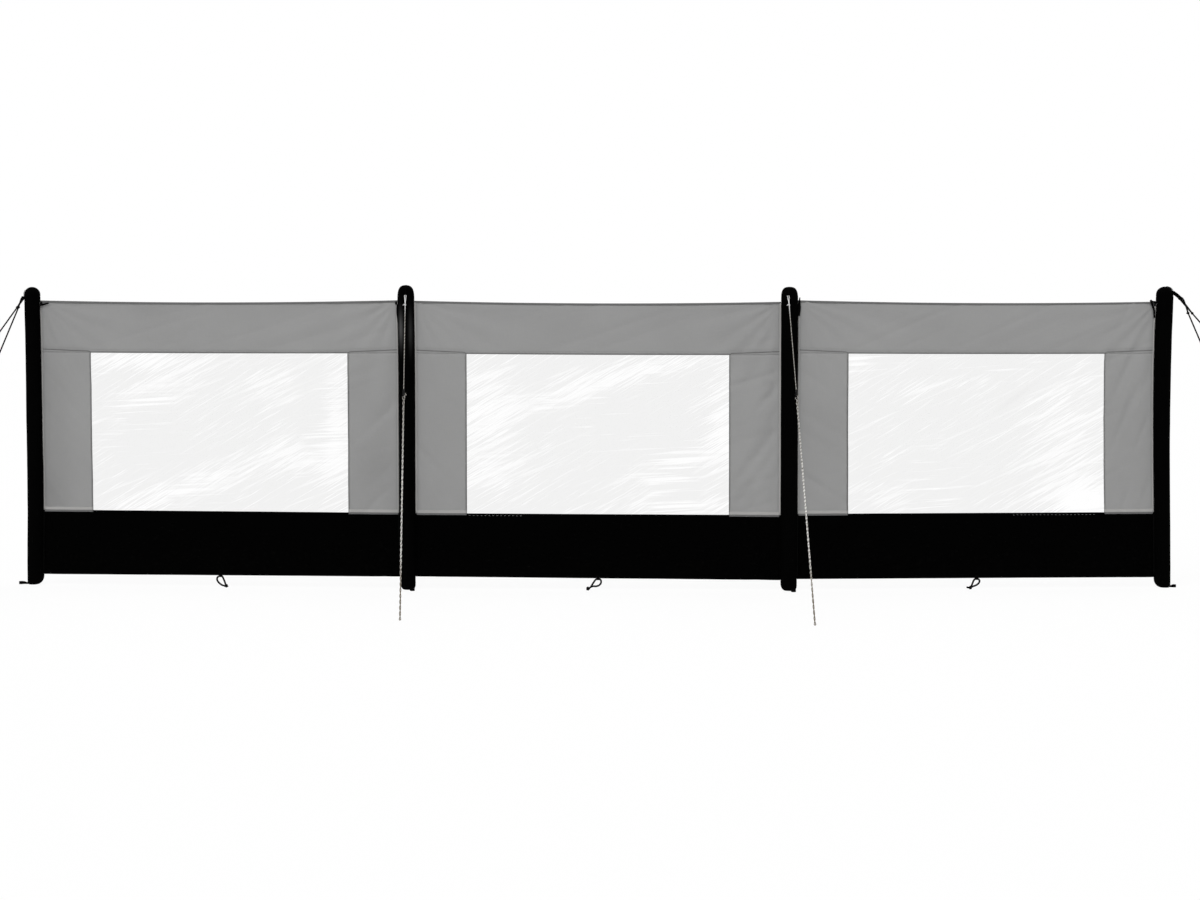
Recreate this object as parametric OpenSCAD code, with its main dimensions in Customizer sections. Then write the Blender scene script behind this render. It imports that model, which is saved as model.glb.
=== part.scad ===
// Beach windbreak: three cloth bays sewn between four inflated posts, stayed by guy lines.
// Origin: centre of the left end post's flat foot, on the ground.
// +X runs to the right end post, the front is -Y, +Z is up.

/* [Run] */
// Distance between the centres of neighbouring posts
bay_pitch = 1650; // [1300:10:2200]
// Turn of each outer bay back from the middle bay, in degrees
bow_angle = 5; // [0:0.5:15]

/* [Posts] */
// Diameter of an inflated post
post_d = 74; // [60:1:100]
// Height of a post's crown above the top edge of the cloth
crown_rise = 61; // [56:1:90]
// Height of the domed top of an end post
end_dome_h = 32; // [26:1:54]
// Height of the domed top of an inner post
inner_dome_h = 58; // [30:1:62]
// Diameter of the flat that a post stands on
foot_flat_d = 34; // [20:1:46]
// Height of the rounding at the foot
foot_round_h = 24; // [14:1:40]

/* [Panels] */
// Thickness of one layer of cloth or film
cloth_t = 1; // [0.6:0.1:2]
// Height of the bottom hem above the ground
hem_z = 50; // [40:1:90]
// Height of the black skirt
skirt_h = 279; // [180:1:400]
// Height of the clear window
window_h = 692; // [450:1:900]
// Height of the band over the window
band_h = 229; // [140:1:320]
// Width of the cloth at each side of a window
side_w = 220; // [120:1:400]
// Overlap of a sewn seam
seam_lap = 12; // [6:1:20]
// Drop of a side panel's hem over the skirt
hem_lap = 2; // [1:0.5:6]
// Drop of the top edge in the middle of a bay
top_sag = 9; // [0:1:20]

/* [Guy lines] */
// Diameter of the guy rope
rope_d = 5; // [3:0.1:7]
// Distance on the ground from a post's centre to the end of its guy line
guy_reach = 1030; // [850:10:1400]
// Length of the tied fork below the strap
fork_l = 45; // [40:1:100]
// Height of the strap's eye above the top edge of the cloth
strap_rise = 20; // [16:1:32]
// Distance of the strap's eye from the face of the post
strap_out = 13; // [11:1:20]
// Width of the strap
strap_w = 6; // [5:0.5:20]
// Thickness of the strap
strap_t = 1.6; // [1:0.1:2.5]
// Distance between the two holes of a runner
runner_pitch = 14; // [12:1:40]
// Width of a runner
runner_w = 11; // [9:1:20]
// Thickness of a runner
runner_t = 5; // [3:0.5:8]
// Gap between the two strands of the loop at the ground end of a guy line
ground_loop_d = 2; // [1:0.5:16]

/* [Pegging] */
// Diameter of the hole in a foot eye
foot_eye_d = 16; // [12:0.5:24]
// Distance of a foot eye's centre from the face of its post
foot_eye_out = 27; // [22:1:50]
// Height of the webbing in a foot eye
foot_eye_h = 15; // [10:1:20]
// Thickness of the webbing in a foot eye
foot_eye_t = 2.4; // [1.6:0.1:4]
// Diameter of the cord in a peg loop
loop_cord_d = 5; // [4:0.1:5.5]
// Width of the tab that a peg loop passes through
loop_tab_w = 16; // [10:1:30]

/* [Fittings] */
// Length of the longer zip pulls
pull_l = 70; // [45:1:100]
// Width of a zip pull
pull_w = 8; // [5:0.5:14]
// Diameter of an air valve's flange
valve_d = 34; // [26:1:44]
// Height of an air valve's centre above the ground
valve_z = 150; // [120:1:300]

/* [Hidden] */
$fn = 48;

// Colours as they show
post_colour = "#0b0b0c";
cloth_colour = "#8f8f8e";
film_colour = "#eef1f2";
rope_colour = "#b9b7b2";
trim_colour = "#161617";

// Clearances: a seat on a round post, a rope in its hole, and the overrun of a cut
seat_gap = 0.2;
rope_gap = 0.3;
overrun = 1;

// Levels of the panels
skirt_top_z = hem_z + skirt_h;
band_z = skirt_top_z + window_h;
panel_top_z = band_z + band_h;
post_r = post_d / 2;
post_h = panel_top_z + crown_rise;
edge_x = post_r + seat_gap;
panel_w = bay_pitch - 2 * edge_x;
sag_steps = 12;

// Squareness of a dome's shoulder, where 2 is an ellipse
dome_power = 2.5;
arc_steps = 10;

// Places of the posts and the turn of each bay
bow_dx = bay_pitch * cos(bow_angle);
bow_dy = bay_pitch * sin(bow_angle);
post_xy = [[0, 0], [bow_dx, -bow_dy], [bow_dx + bay_pitch, -bow_dy], [2 * bow_dx + bay_pitch, 0]];
bay_turns = [-bow_angle, 0, bow_angle];
dome_hs = [end_dome_h, inner_dome_h, inner_dome_h, end_dome_h];

// Guy lines: the post, the strap's bearing, reach, rise and tilt, and the line's bearing and reach
guy_posts = [0, 0, 1, 1, 2, 2, 3, 3];
strap_bearings = [195, 165, -86, 90, -100, 90, -15, 15];
guy_bearings = [258, 157, -85.7, 90, -89, 90, -74.5, 2];
strap_out_shares = [0.85, 0.85, 1, 1, 1, 1, 2.8, 2.8];
strap_rise_shares = [0.65, 0.65, 1, 1, 1, 1, 0.65, 0.65];
strap_tilts = [45, 45, 30, 30, 30, 30, 36, 36];
strap_bite_share = 0.35;
reach_shares = [1.14, 1.14, 0.95, 1, 1.05, 1, 1.14, 1.14];
rope_r = rope_d / 2;
strap_eye_r = rope_r + rope_gap;
fork_half = strap_w / 2 + rope_r + rope_gap;
fork_over = strap_eye_r + strap_t + rope_r + rope_gap;
bend_share = 1.05;
knot_core_share = 1.15;
knot_wraps = 3;
knot_wrap_share = 0.92;
knot_l = knot_wraps * rope_d * knot_wrap_share;
runner_share = 0.31;
loop_turn_r = ground_loop_d / 2 + rope_r;
tail_l = 4 * rope_d;

// Foot eyes: the bearing and reach of each, and their height above the ground
foot_eye_bearings = [180, -67, -75, 0];
foot_eye_out_shares = [1, 1, 1, 0.7];
foot_eye_lift = 2;
neck_h_share = 0.6;

// Zip pulls: the bay, its end, and the slope and length of the pull
zip_bays = [0, 0, 2, 2];
zip_ends = [0, 1, 0, 1];
zip_slopes = [8, -86, -88, -62];
pull_l_shares = [0.5, 1.4, 1.1, 1];
slider_w = 10;
slider_l = 13;
slider_t = 6;
zip_drop = 13;
pull_t = 3;
pull_hole_share = 0.45;

// Air valves: flange, cap and grip
valve_flange_t = 3;
valve_cap_share = 0.74;
valve_cap_t = 9;
valve_grip_share = 0.3;
valve_grip_t = 3;

// Peg loops: tab, side that each bulges to, and the cord's route in its bay's plane from the tab
loop_cord_r = loop_cord_d / 2;
loop_tab_t = 1.6;
loop_tab_r = loop_cord_r + rope_gap + loop_tab_t;
loop_flap_h = 14;
loop_sides = [-1, 1, 1];
loop_unit = loop_tab_w / 2;
loop_return_shares = [
    [-2.5, 0, -3], [-2.34, 0, -2.25], [-2.16, 0, -1.5], [-1.94, 0, -0.81], [-1.56, 0, -0.22], [-1, 0, 0]
];
loop_bulge_shares = [
    [1, 0, 0], [1.62, 0, -0.38], [2.06, 0, -1.12], [2.06, 0, -2], [1.56, 0, -2.81],
    [0.69, 0, -3.44], [-0.38, 0, -3.88], [-1.5, 0, -4.19], [-2.5, 0, -4.45], [-3.25, 0, -4.65],
    [-4, 0, -4.85], [-4.75, 0, -5.05]
];
loop_bulge = loop_unit * loop_bulge_shares;
loop_tie = loop_bulge[len(loop_bulge) - 4];
loop_tail = unit(loop_bulge[len(loop_bulge) - 1] - loop_tie);
loop_knot_r = loop_cord_r * (1 + knot_core_share);
loop_knot_l = knot_wraps * loop_cord_d * knot_wrap_share;
loop_slant_share = 0.6;
loop_meet = loop_tie
    + cross([0, 1, 0], loop_tail) * (loop_knot_r + seat_gap + loop_cord_r * loop_slant_share);
loop_route = concat([loop_meet], loop_unit * loop_return_shares, loop_bulge);
cord_facets = 10;
loop_z = hem_z - loop_tab_r;

function unit(v) = v / norm(v);
function bearing_dir(a) = [cos(a), sin(a), 0];
function post_at(i) = [post_xy[i][0], post_xy[i][1], 0];

// Points of a guy line
function strap_reach(g) = strap_out * strap_out_shares[g];
function strap_leg(g) = (strap_reach(g) + post_r * strap_bite_share) / cos(strap_tilts[g]);
function strap_dir(g) = bearing_dir(strap_bearings[g]) * cos(strap_tilts[g]) - [0, 0, sin(strap_tilts[g])];
function strap_side(g) = bearing_dir(strap_bearings[g] + 90);
function strap_eye(g) = post_at(guy_posts[g])
    + bearing_dir(strap_bearings[g]) * (post_r + strap_reach(g))
    + [0, 0, panel_top_z + strap_rise * strap_rise_shares[g]];
function guy_end(g) = post_at(guy_posts[g])
    + bearing_dir(guy_bearings[g]) * guy_reach * reach_shares[g] + [0, 0, rope_r];
function guy_dir(g) = unit(guy_end(g) - strap_eye(g));
function guy_side(g) = unit([-guy_dir(g)[1], guy_dir(g)[0], 0]);
function guy_up(g) = cross(guy_dir(g), guy_side(g));
function knot_at(g) = strap_eye(g) + guy_dir(g) * fork_l;
function loop_centre(g) = guy_end(g) - guy_dir(g) * loop_turn_r;
function runner_at(g) = knot_at(g) + (guy_end(g) - knot_at(g)) * runner_share;
function runner_hole(g, s) = runner_at(g) + guy_up(g) * s * runner_pitch / 2;

// Outline of a post, from the foot's flat to the crown
function foot_point(a, g) = [
    foot_flat_d / 2 + g + (post_r - foot_flat_d / 2) * sin(a),
    foot_round_h * (1 - cos(a)) - g * cos(a)
];
function dome_point(a, g, dome_h) = [
    (post_r + g) * pow(cos(a), 2 / dome_power),
    post_h - dome_h + (dome_h + g) * pow(sin(a), 2 / dome_power)
];
function post_outline(i, g) = concat(
    [[0, -g]],
    [for (k = [0 : arc_steps]) foot_point(90 * k / arc_steps, g)],
    [for (k = [0 : arc_steps - 1]) dome_point(90 * k / arc_steps, g, dome_hs[i])],
    [[0, post_h + g]]
);

module post_body(i, g) {
    rotate_extrude() polygon(post_outline(i, g));
}

module post(i) {
    color(post_colour) translate(post_at(i)) post_body(i, 0);
}

// A bay's own frame: X along the cloth from the post it starts at, -Y to the front
module in_bay(b) {
    translate(post_at(b)) rotate([0, 0, bay_turns[b]]) children();
}

// A flat cloth piece from its outline in X and Z, with its back face at y
module cloth(y, t) {
    translate([0, y, 0]) rotate([90, 0, 0]) linear_extrude(t) children();
}

function sag_at(s) = panel_top_z - 4 * top_sag * s * (1 - s);

module top_band(b) {
    edge = [for (k = [sag_steps : -1 : 0]) [edge_x + panel_w * k / sag_steps, sag_at(k / sag_steps)]];
    color(cloth_colour) in_bay(b) union() {
        cloth(0, cloth_t)
            polygon(concat([[edge_x, band_z + seam_lap], [edge_x + panel_w, band_z + seam_lap]], edge));
        cloth(-cloth_t, cloth_t)
            translate([edge_x, band_z]) square([panel_w, 2 * seam_lap]);
    }
}

module side_panel(b, right) {
    x = right ? bay_pitch - edge_x - side_w : edge_x;
    color(cloth_colour) in_bay(b) union() {
        cloth(0, cloth_t)
            translate([x, skirt_top_z + seat_gap]) square([side_w, window_h + seam_lap - 2 * seat_gap]);
        cloth(-cloth_t, cloth_t)
            translate([x, skirt_top_z - hem_lap]) square([side_w, 2 * seam_lap]);
    }
}

module window(b) {
    color(film_colour, 0.4) in_bay(b)
        cloth(cloth_t + seat_gap, cloth_t)
            translate([edge_x + side_w - seam_lap, skirt_top_z - seam_lap])
                square([panel_w - 2 * side_w + 2 * seam_lap, window_h + 2 * seam_lap]);
}

module skirt(b) {
    color(post_colour) in_bay(b)
        cloth(0, cloth_t) translate([edge_x, hem_z]) square([panel_w, skirt_h]);
}

// A frame at o with X along w and Y level
module along(o, w) {
    translate(o) rotate([0, -asin(w[2]), atan2(w[1], w[0])]) children();
}

module rope_run(a, b) {
    along(a, unit(b - a)) rotate([0, 90, 0]) cylinder(h = norm(b - a), r = rope_r);
}

module rope_bend(p) {
    translate(p) sphere(r = rope_r * bend_share);
}

// A rope through several points, rounded where it bends
module rope_path(points) {
    for (k = [0 : len(points) - 2]) rope_run(points[k], points[k + 1]);
    for (k = [1 : 1 : len(points) - 2]) rope_bend(points[k]);
}

// Turns of a tied knot round a rope of radius r, along X
module knot_wraps_of(r) {
    pitch = 2 * r * knot_wrap_share;
    rotate([0, 90, 0]) rotate_extrude() {
        square([r * knot_core_share, knot_wraps * pitch]);
        for (k = [0 : knot_wraps - 1]) translate([r * knot_core_share, (k + 0.5) * pitch]) circle(r = r);
    }
}

// One guy line: forked eye, knot, single line to the runner, doubled line to the ground loop
module guy(g) {
    eye = strap_eye(g);
    w = guy_dir(g);
    side = strap_side(g) * fork_half;
    over = strap_dir(g) * fork_over;
    tie = knot_at(g) + w * knot_l / 2;
    turn = guy_side(g) * loop_turn_r;
    stop = runner_hole(g, -1) - w * (runner_t / 2 + rope_gap);
    color(rope_colour) union() {
        rope_path([tie, eye + side + over, eye + side, eye - side, eye - side + over, tie]);
        along(knot_at(g), w) knot_wraps_of(rope_r);
        rope_path([tie, tie - guy_side(g) * tail_l]);
        rope_path([tie, runner_hole(g, 1), loop_centre(g) + turn]);
        rope_bend(loop_centre(g) + turn);
        along(loop_centre(g), w) rotate([0, 0, -90])
            rotate_extrude(angle = 180) translate([loop_turn_r, 0]) circle(r = rope_r);
        rope_bend(loop_centre(g) - turn);
        rope_path([loop_centre(g) - turn, stop - w * (knot_l + tail_l)]);
        along(stop, -w) knot_wraps_of(rope_r);
    }
}

module strap_outline(leg, r) {
    circle(r = r);
    translate([-leg, -r]) square([leg, 2 * r]);
}

// A webbing strap sewn to the shoulder of a post and folded round the rope
module guy_strap(g) {
    difference() {
        along(strap_eye(g), strap_dir(g)) rotate([90, 0, 0])
            linear_extrude(strap_w, center = true) difference() {
                strap_outline(strap_leg(g), strap_eye_r + strap_t);
                translate([-overrun, 0]) strap_outline(strap_leg(g), strap_eye_r);
                circle(r = strap_eye_r);
            }
        translate(post_at(guy_posts[g])) post_body(guy_posts[g], seat_gap);
    }
}

module guy_straps() {
    color(trim_colour) for (g = [0 : len(guy_posts) - 1]) guy_strap(g);
}

module guy_runner(g) {
    along(runner_at(g), guy_dir(g)) rotate([90, 0, 90])
        linear_extrude(runner_t, center = true) difference() {
            union() {
                square([runner_w, runner_pitch], center = true);
                for (s = [-1, 1]) translate([0, s * runner_pitch / 2]) circle(d = runner_w);
            }
            for (s = [-1, 1]) translate([0, s * runner_pitch / 2]) circle(r = rope_r + rope_gap);
        }
}

module guy_runners() {
    color(trim_colour) for (g = [0 : len(guy_posts) - 1]) guy_runner(g);
}

// A webbing eye on edge at a post's foot, for a peg
module foot_peg_eye(i) {
    eye_x = post_r + foot_eye_out * foot_eye_out_shares[i];
    neck_h = foot_eye_h * neck_h_share;
    difference() {
        translate(post_at(i)) rotate([0, 0, foot_eye_bearings[i]]) translate([0, 0, foot_eye_lift])
            difference() {
                union() {
                    translate([eye_x, 0, 0]) cylinder(h = foot_eye_h, d = foot_eye_d + 2 * foot_eye_t);
                    translate([0, foot_eye_t, 0]) rotate([90, 0, 0]) linear_extrude(2 * foot_eye_t)
                        polygon([[0, 0], [eye_x, 0], [eye_x, foot_eye_h], [post_r, neck_h], [0, neck_h]]);
                }
                translate([eye_x, 0, -overrun]) cylinder(h = foot_eye_h + 2 * overrun, d = foot_eye_d);
            }
        translate(post_at(i)) post_body(i, seat_gap);
    }
}

module foot_peg_eyes() {
    color(trim_colour) for (i = [0 : len(post_xy) - 1]) foot_peg_eye(i);
}

// A zip slider beside a post with its pull
module zip_pull(k) {
    right = zip_ends[k] == 1;
    l = pull_l * pull_l_shares[k];
    x = edge_x + seat_gap + slider_w / 2;
    in_bay(zip_bays[k])
        translate([right ? bay_pitch - x : x, -cloth_t - seat_gap, panel_top_z - zip_drop])
            mirror([right ? 1 : 0, 0, 0]) {
                translate([0, -slider_t / 2, 0]) cube([slider_w, slider_t, slider_l], center = true);
                translate([0, -slider_t, 0]) rotate([90, 0, 0]) rotate([0, 0, zip_slopes[k]])
                    translate([0, 0, -pull_t]) linear_extrude(pull_t) difference() {
                        union() {
                            translate([0, -pull_w / 2]) square([l - pull_w / 2, pull_w]);
                            translate([l - pull_w / 2, 0]) circle(d = pull_w);
                        }
                        translate([l - pull_w / 2, 0]) circle(d = pull_w * pull_hole_share);
                    }
            }
}

module zip_pulls() {
    color(trim_colour) for (k = [0 : len(zip_bays) - 1]) zip_pull(k);
}

// A capped air valve low on the back of a post
module air_valve(i) {
    cap_y = post_r + valve_flange_t;
    difference() {
        translate(post_at(i) + [0, 0, valve_z]) rotate([-90, 0, 0]) union() {
            cylinder(h = cap_y, d = valve_d);
            cylinder(h = cap_y + valve_cap_t, d = valve_d * valve_cap_share);
            translate([-valve_d * valve_cap_share / 2, -valve_d * valve_grip_share / 4, cap_y + valve_cap_t])
                cube([valve_d * valve_cap_share, valve_d * valve_grip_share / 2, valve_grip_t]);
        }
        translate(post_at(i)) post_body(i, seat_gap);
    }
}

module air_valves() {
    color(trim_colour) for (i = [0 : len(post_xy) - 1]) air_valve(i);
}

// Peg loops at the bottom hem, each in the middle of its bay
module at_loop(b) {
    in_bay(b) translate([bay_pitch / 2, -cloth_t / 2, loop_z]) mirror([loop_sides[b] < 0 ? 1 : 0, 0, 0])
        children();
}

module peg_loop_tab(b) {
    at_loop(b) difference() {
        union() {
            rotate([0, 90, 0]) cylinder(h = loop_tab_w, r = loop_tab_r - seat_gap, center = true);
            translate([-loop_tab_w / 2, cloth_t / 2 + seat_gap, 0])
                cube([loop_tab_w, loop_tab_t, loop_tab_r + loop_flap_h]);
        }
        rotate([0, 90, 0]) cylinder(h = loop_tab_w + overrun, r = loop_cord_r + rope_gap, center = true);
    }
}

module peg_loop_tabs() {
    color(trim_colour) for (b = [0 : len(loop_sides) - 1]) peg_loop_tab(b);
}

function route_dir(k) = unit(loop_route[min(k + 1, len(loop_route) - 1)] - loop_route[max(k - 1, 0)]);
function route_ring(k) = [
    for (s = [0 : cord_facets - 1])
        loop_route[k]
            + loop_cord_r * cos(360 * s / cord_facets) * cross(route_dir(k), [0, 1, 0])
            + loop_cord_r * sin(360 * s / cord_facets) * [0, 1, 0]
];

// The cord of a peg loop, from the knot up through the tab and round the bulge to its tail
module peg_loop(b) {
    rings = len(loop_route);
    n = cord_facets;
    points = [for (k = [0 : rings - 1]) each route_ring(k)];
    walls = [
        for (k = [0 : rings - 2], s = [0 : n - 1])
            [k * n + s, (k + 1) * n + s, (k + 1) * n + (s + 1) % n, k * n + (s + 1) % n]
    ];
    first = [for (s = [0 : n - 1]) s];
    last = [for (s = [n - 1 : -1 : 0]) (rings - 1) * n + s];
    color(trim_colour) at_loop(b) polyhedron(points, concat(walls, [first, last]));
}

// The knot that ties the two strands of a peg loop, wound round its tail
module peg_loop_knot(b) {
    at_loop(b) along(loop_tie, loop_tail) difference() {
        knot_wraps_of(loop_cord_r);
        translate([-overrun, 0, 0]) rotate([0, 90, 0])
            cylinder(h = loop_knot_l + 2 * overrun, r = loop_cord_r + seat_gap);
    }
}

module peg_loop_knots() {
    color(trim_colour) for (b = [0 : len(loop_sides) - 1]) peg_loop_knot(b);
}

post(0);  // left_end_post
post(1);  // left_inner_post
post(2);  // right_inner_post
post(3);  // right_end_post
top_band(0);  // left_bay_top_band
side_panel(0, false);  // left_bay_left_side
side_panel(0, true);  // left_bay_right_side
window(0);  // left_bay_window
skirt(0);  // left_bay_skirt
top_band(1);  // middle_bay_top_band
side_panel(1, false);  // middle_bay_left_side
side_panel(1, true);  // middle_bay_right_side
window(1);  // middle_bay_window
skirt(1);  // middle_bay_skirt
top_band(2);  // right_bay_top_band
side_panel(2, false);  // right_bay_left_side
side_panel(2, true);  // right_bay_right_side
window(2);  // right_bay_window
skirt(2);  // right_bay_skirt
guy(0);  // left_end_front_guy
guy(1);  // left_end_rear_guy
guy(2);  // left_inner_front_guy
guy(3);  // left_inner_rear_guy
guy(4);  // right_inner_front_guy
guy(5);  // right_inner_rear_guy
guy(6);  // right_end_front_guy
guy(7);  // right_end_rear_guy
guy_straps();
guy_runners();
foot_peg_eyes();
zip_pulls();
air_valves();
peg_loop_tabs();
peg_loop(0);  // left_peg_loop
peg_loop(1);  // middle_peg_loop
peg_loop(2);  // right_peg_loop
peg_loop_knots();
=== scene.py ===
"""Dresses the three-bay beach windbreak: sleeves, cloth bays, guy lines and their fittings."""
import logging
import math
from dataclasses import dataclass, field
from enum import Enum
from typing import Callable, Sequence

import bmesh
import bpy
from mathutils import Matrix, Vector, noise


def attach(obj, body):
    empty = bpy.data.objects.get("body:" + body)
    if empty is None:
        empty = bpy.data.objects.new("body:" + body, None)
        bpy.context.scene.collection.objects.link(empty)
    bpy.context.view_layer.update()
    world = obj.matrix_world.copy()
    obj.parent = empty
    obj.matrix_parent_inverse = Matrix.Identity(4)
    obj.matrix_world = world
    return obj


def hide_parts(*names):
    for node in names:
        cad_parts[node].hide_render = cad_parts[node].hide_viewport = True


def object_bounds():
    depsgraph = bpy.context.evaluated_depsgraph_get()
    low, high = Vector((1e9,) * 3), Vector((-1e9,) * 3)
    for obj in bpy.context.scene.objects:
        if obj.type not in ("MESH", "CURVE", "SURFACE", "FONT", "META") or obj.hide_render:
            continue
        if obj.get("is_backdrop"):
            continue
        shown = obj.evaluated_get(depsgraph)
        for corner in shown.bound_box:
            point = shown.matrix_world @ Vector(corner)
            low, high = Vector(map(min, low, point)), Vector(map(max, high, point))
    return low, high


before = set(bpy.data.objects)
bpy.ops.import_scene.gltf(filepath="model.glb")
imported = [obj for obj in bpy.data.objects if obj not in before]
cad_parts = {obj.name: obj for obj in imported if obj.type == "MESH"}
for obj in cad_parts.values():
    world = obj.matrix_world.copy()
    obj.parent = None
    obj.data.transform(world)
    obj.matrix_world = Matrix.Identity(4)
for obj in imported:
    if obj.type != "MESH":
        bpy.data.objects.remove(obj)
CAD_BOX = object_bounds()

LOG = logging.getLogger("windbreak")
BODY = "root"

Socket = bpy.types.NodeSocket
Sockets = bpy.types.bpy_prop_collection
Nodes = bpy.types.NodeTree
Surface = bpy.types.Material
Piece = bpy.types.Object
Shape = bmesh.types.BMesh
Colour = tuple[float, float, float, float]
Span = tuple[float, float]
Size = tuple[float, float, float]
Table = tuple[tuple[float, float], ...]
Put = Callable[[float, float, float, float], Vector]


class Bay(Enum):
    """The three cloth bays, by the post that each starts at."""

    LEFT = 0
    MIDDLE = 1
    RIGHT = 2

    @property
    def label(self) -> str:
        """Name of the bay as the nodes carry it."""
        return f"{self.name.lower()}_bay"


class Post(Enum):
    """The four air posts, from left to right."""

    LEFT_END = 0
    LEFT_INNER = 1
    RIGHT_INNER = 2
    RIGHT_END = 3

    @property
    def label(self) -> str:
        """Name of the post as the nodes carry it."""
        return self.name.lower()


class Edge(Enum):
    """The end of a bay that something sits at."""

    START = 0
    FINISH = 1


def read_off(table: Table, at: float) -> float:
    """Reads a value off a table of places and values, straight between its rows."""
    for (low, first), (high, last) in zip(table, table[1:]):
        if at <= high:
            return first + (last - first) * max(0.0, (at - low) / (high - low))
    return table[-1][1]


@dataclass(frozen=True)
class Run:
    """Where the posts and the bays stand, and how they settle once pegged, in metres."""

    pitch: float = 1.650
    bow: float = math.radians(5.0)
    post_r: float = 0.037
    post_h: float = 1.311
    hem_z: float = 0.050
    skirt_top: float = 0.329
    band_z: float = 1.021
    top_z: float = 1.250
    edge_x: float = 0.0372
    side_w: float = 0.220
    lap: float = 0.012
    hem_lap: float = 0.002
    sag: float = 0.009
    seam_sag: float = 0.3
    cloth_t: float = 0.001
    leans: tuple[Table, ...] = (
        ((0.00, -0.0090), (0.10, -0.0085), (0.30, -0.0050), (0.50, -0.0035), (0.70, -0.0050), (1.08, -0.0056),
         (1.20, -0.0074), (1.32, -0.0080)),
        ((0.00, 0.0050), (0.30, 0.0044), (0.90, 0.0042), (1.10, 0.0028), (1.25, 0.0008), (1.32, 0.0004)),
        ((0.00, 0.0042), (0.33, 0.0033), (0.60, 0.0024), (0.82, 0.0012), (1.10, 0.0008), (1.32, -0.0006)),
        ((0.00, 0.0098), (0.08, 0.0090), (0.33, 0.0032), (0.55, -0.0026), (0.69, -0.0050), (0.84, -0.0064),
         (0.98, -0.0064), (1.12, -0.0046), (1.24, -0.0008), (1.32, 0.0014)))
    girths: tuple[Table, ...] = (
        ((0.00, 0.985), (0.40, 0.990), (0.70, 0.970), (1.10, 0.945), (1.32, 0.940)),
        ((0.00, 0.900), (0.10, 0.930), (0.30, 0.970), (1.32, 0.985)),
        ((0.00, 0.950), (0.12, 0.975), (0.30, 1.000), (1.32, 1.000)),
        ((0.00, 0.970), (0.20, 0.985), (0.60, 1.000), (0.85, 1.040), (1.15, 1.050), (1.28, 1.000),
         (1.32, 1.000)))
    rises: tuple[tuple[Table, Table], ...] = (
        (((0.05, -0.0044), (0.33, 0.0010), (1.02, 0.0015), (1.25, 0.0000)),
         ((0.05, 0.0047), (0.33, 0.0030), (1.02, 0.0015), (1.25, 0.0010))),
        (((0.05, 0.0058), (0.33, 0.0020), (1.02, 0.0005), (1.25, -0.0010)),
         ((0.05, -0.0060), (0.33, -0.0030), (1.02, -0.0035), (1.25, -0.0035))),
        (((0.05, -0.0015), (0.33, 0.0025), (1.02, 0.0040), (1.25, 0.0034)),
         ((0.05, -0.0052), (0.33, 0.0025), (1.02, 0.0038), (1.25, 0.0012))))

    @property
    def far_x(self) -> float:
        """Far edge of a bay's cloth."""
        return self.pitch - self.edge_x

    @property
    def panel_w(self) -> float:
        """Width of a bay's cloth."""
        return self.pitch - 2 * self.edge_x

    def post_at(self, post: Post) -> Vector:
        """Centre of a post's foot."""
        step_x, step_y = self.pitch * math.cos(self.bow), self.pitch * math.sin(self.bow)
        places = ((0, 0), (step_x, -step_y), (step_x + self.pitch, -step_y), (2 * step_x + self.pitch, 0))
        return Vector((*places[post.value], 0))

    def bay_frame(self, bay: Bay) -> Matrix:
        """Frame of a bay: X along the cloth from its first post, -Y to the front."""
        turn = (bay.value - 1) * self.bow
        return Matrix.Translation(self.post_at(Post(bay.value))) @ Matrix.Rotation(turn, 4, "Z")

    def sagged(self, x: float, z: float) -> float:
        """Height of a cloth point once the top edge hangs between its posts."""
        along = (x - self.edge_x) / self.panel_w
        if z > self.band_z:
            share = self.seam_sag + (1 - self.seam_sag) * (z - self.band_z) / (self.top_z - self.band_z)
        else:
            share = self.seam_sag * max(0.0, (z - self.skirt_top) / (self.band_z - self.skirt_top))
        return z - share * 4 * self.sag * along * (1 - along)

    def lean(self, post: Post, z: float) -> float:
        """How far a post stands to the right of its foot's mark at a height."""
        return read_off(self.leans[post.value], z)

    def girth(self, post: Post, z: float) -> float:
        """A post's thickness at a height, as a share of its full one."""
        return read_off(self.girths[post.value], z)

    def shift(self, bay: Bay, point: Vector) -> Vector:
        """How far a point of a bay's cloth is drawn out of true.

        Args:
            bay: the bay.
            point: the point, in the bay's frame.

        Returns:
            The move, in the bay's frame.
        """
        share = (point.x - self.edge_x) / self.panel_w
        first, last = Post(bay.value), Post(bay.value + 1)
        start = self.lean(first, point.z) - self.post_r * (1 - self.girth(first, point.z))
        end = self.lean(last, point.z) + self.post_r * (1 - self.girth(last, point.z))
        low, high = (read_off(table, point.z) for table in self.rises[bay.value])
        return Vector((start + (end - start) * share, 0, low + (high - low) * share))

    def at(self, bay: Bay, point: Vector) -> Vector:
        """Place in the object's frame of a settled point of a bay."""
        return self.bay_frame(bay) @ (point + self.shift(bay, point))

    def settle(self, shape: Shape, bay: Bay) -> Shape:
        """Settles a mesh of a bay, moves it to the object's frame and gives it back."""
        for vert in shape.verts:
            vert.co += self.shift(bay, vert.co)
        shape.transform(self.bay_frame(bay))
        return shape


RUN = Run()


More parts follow.
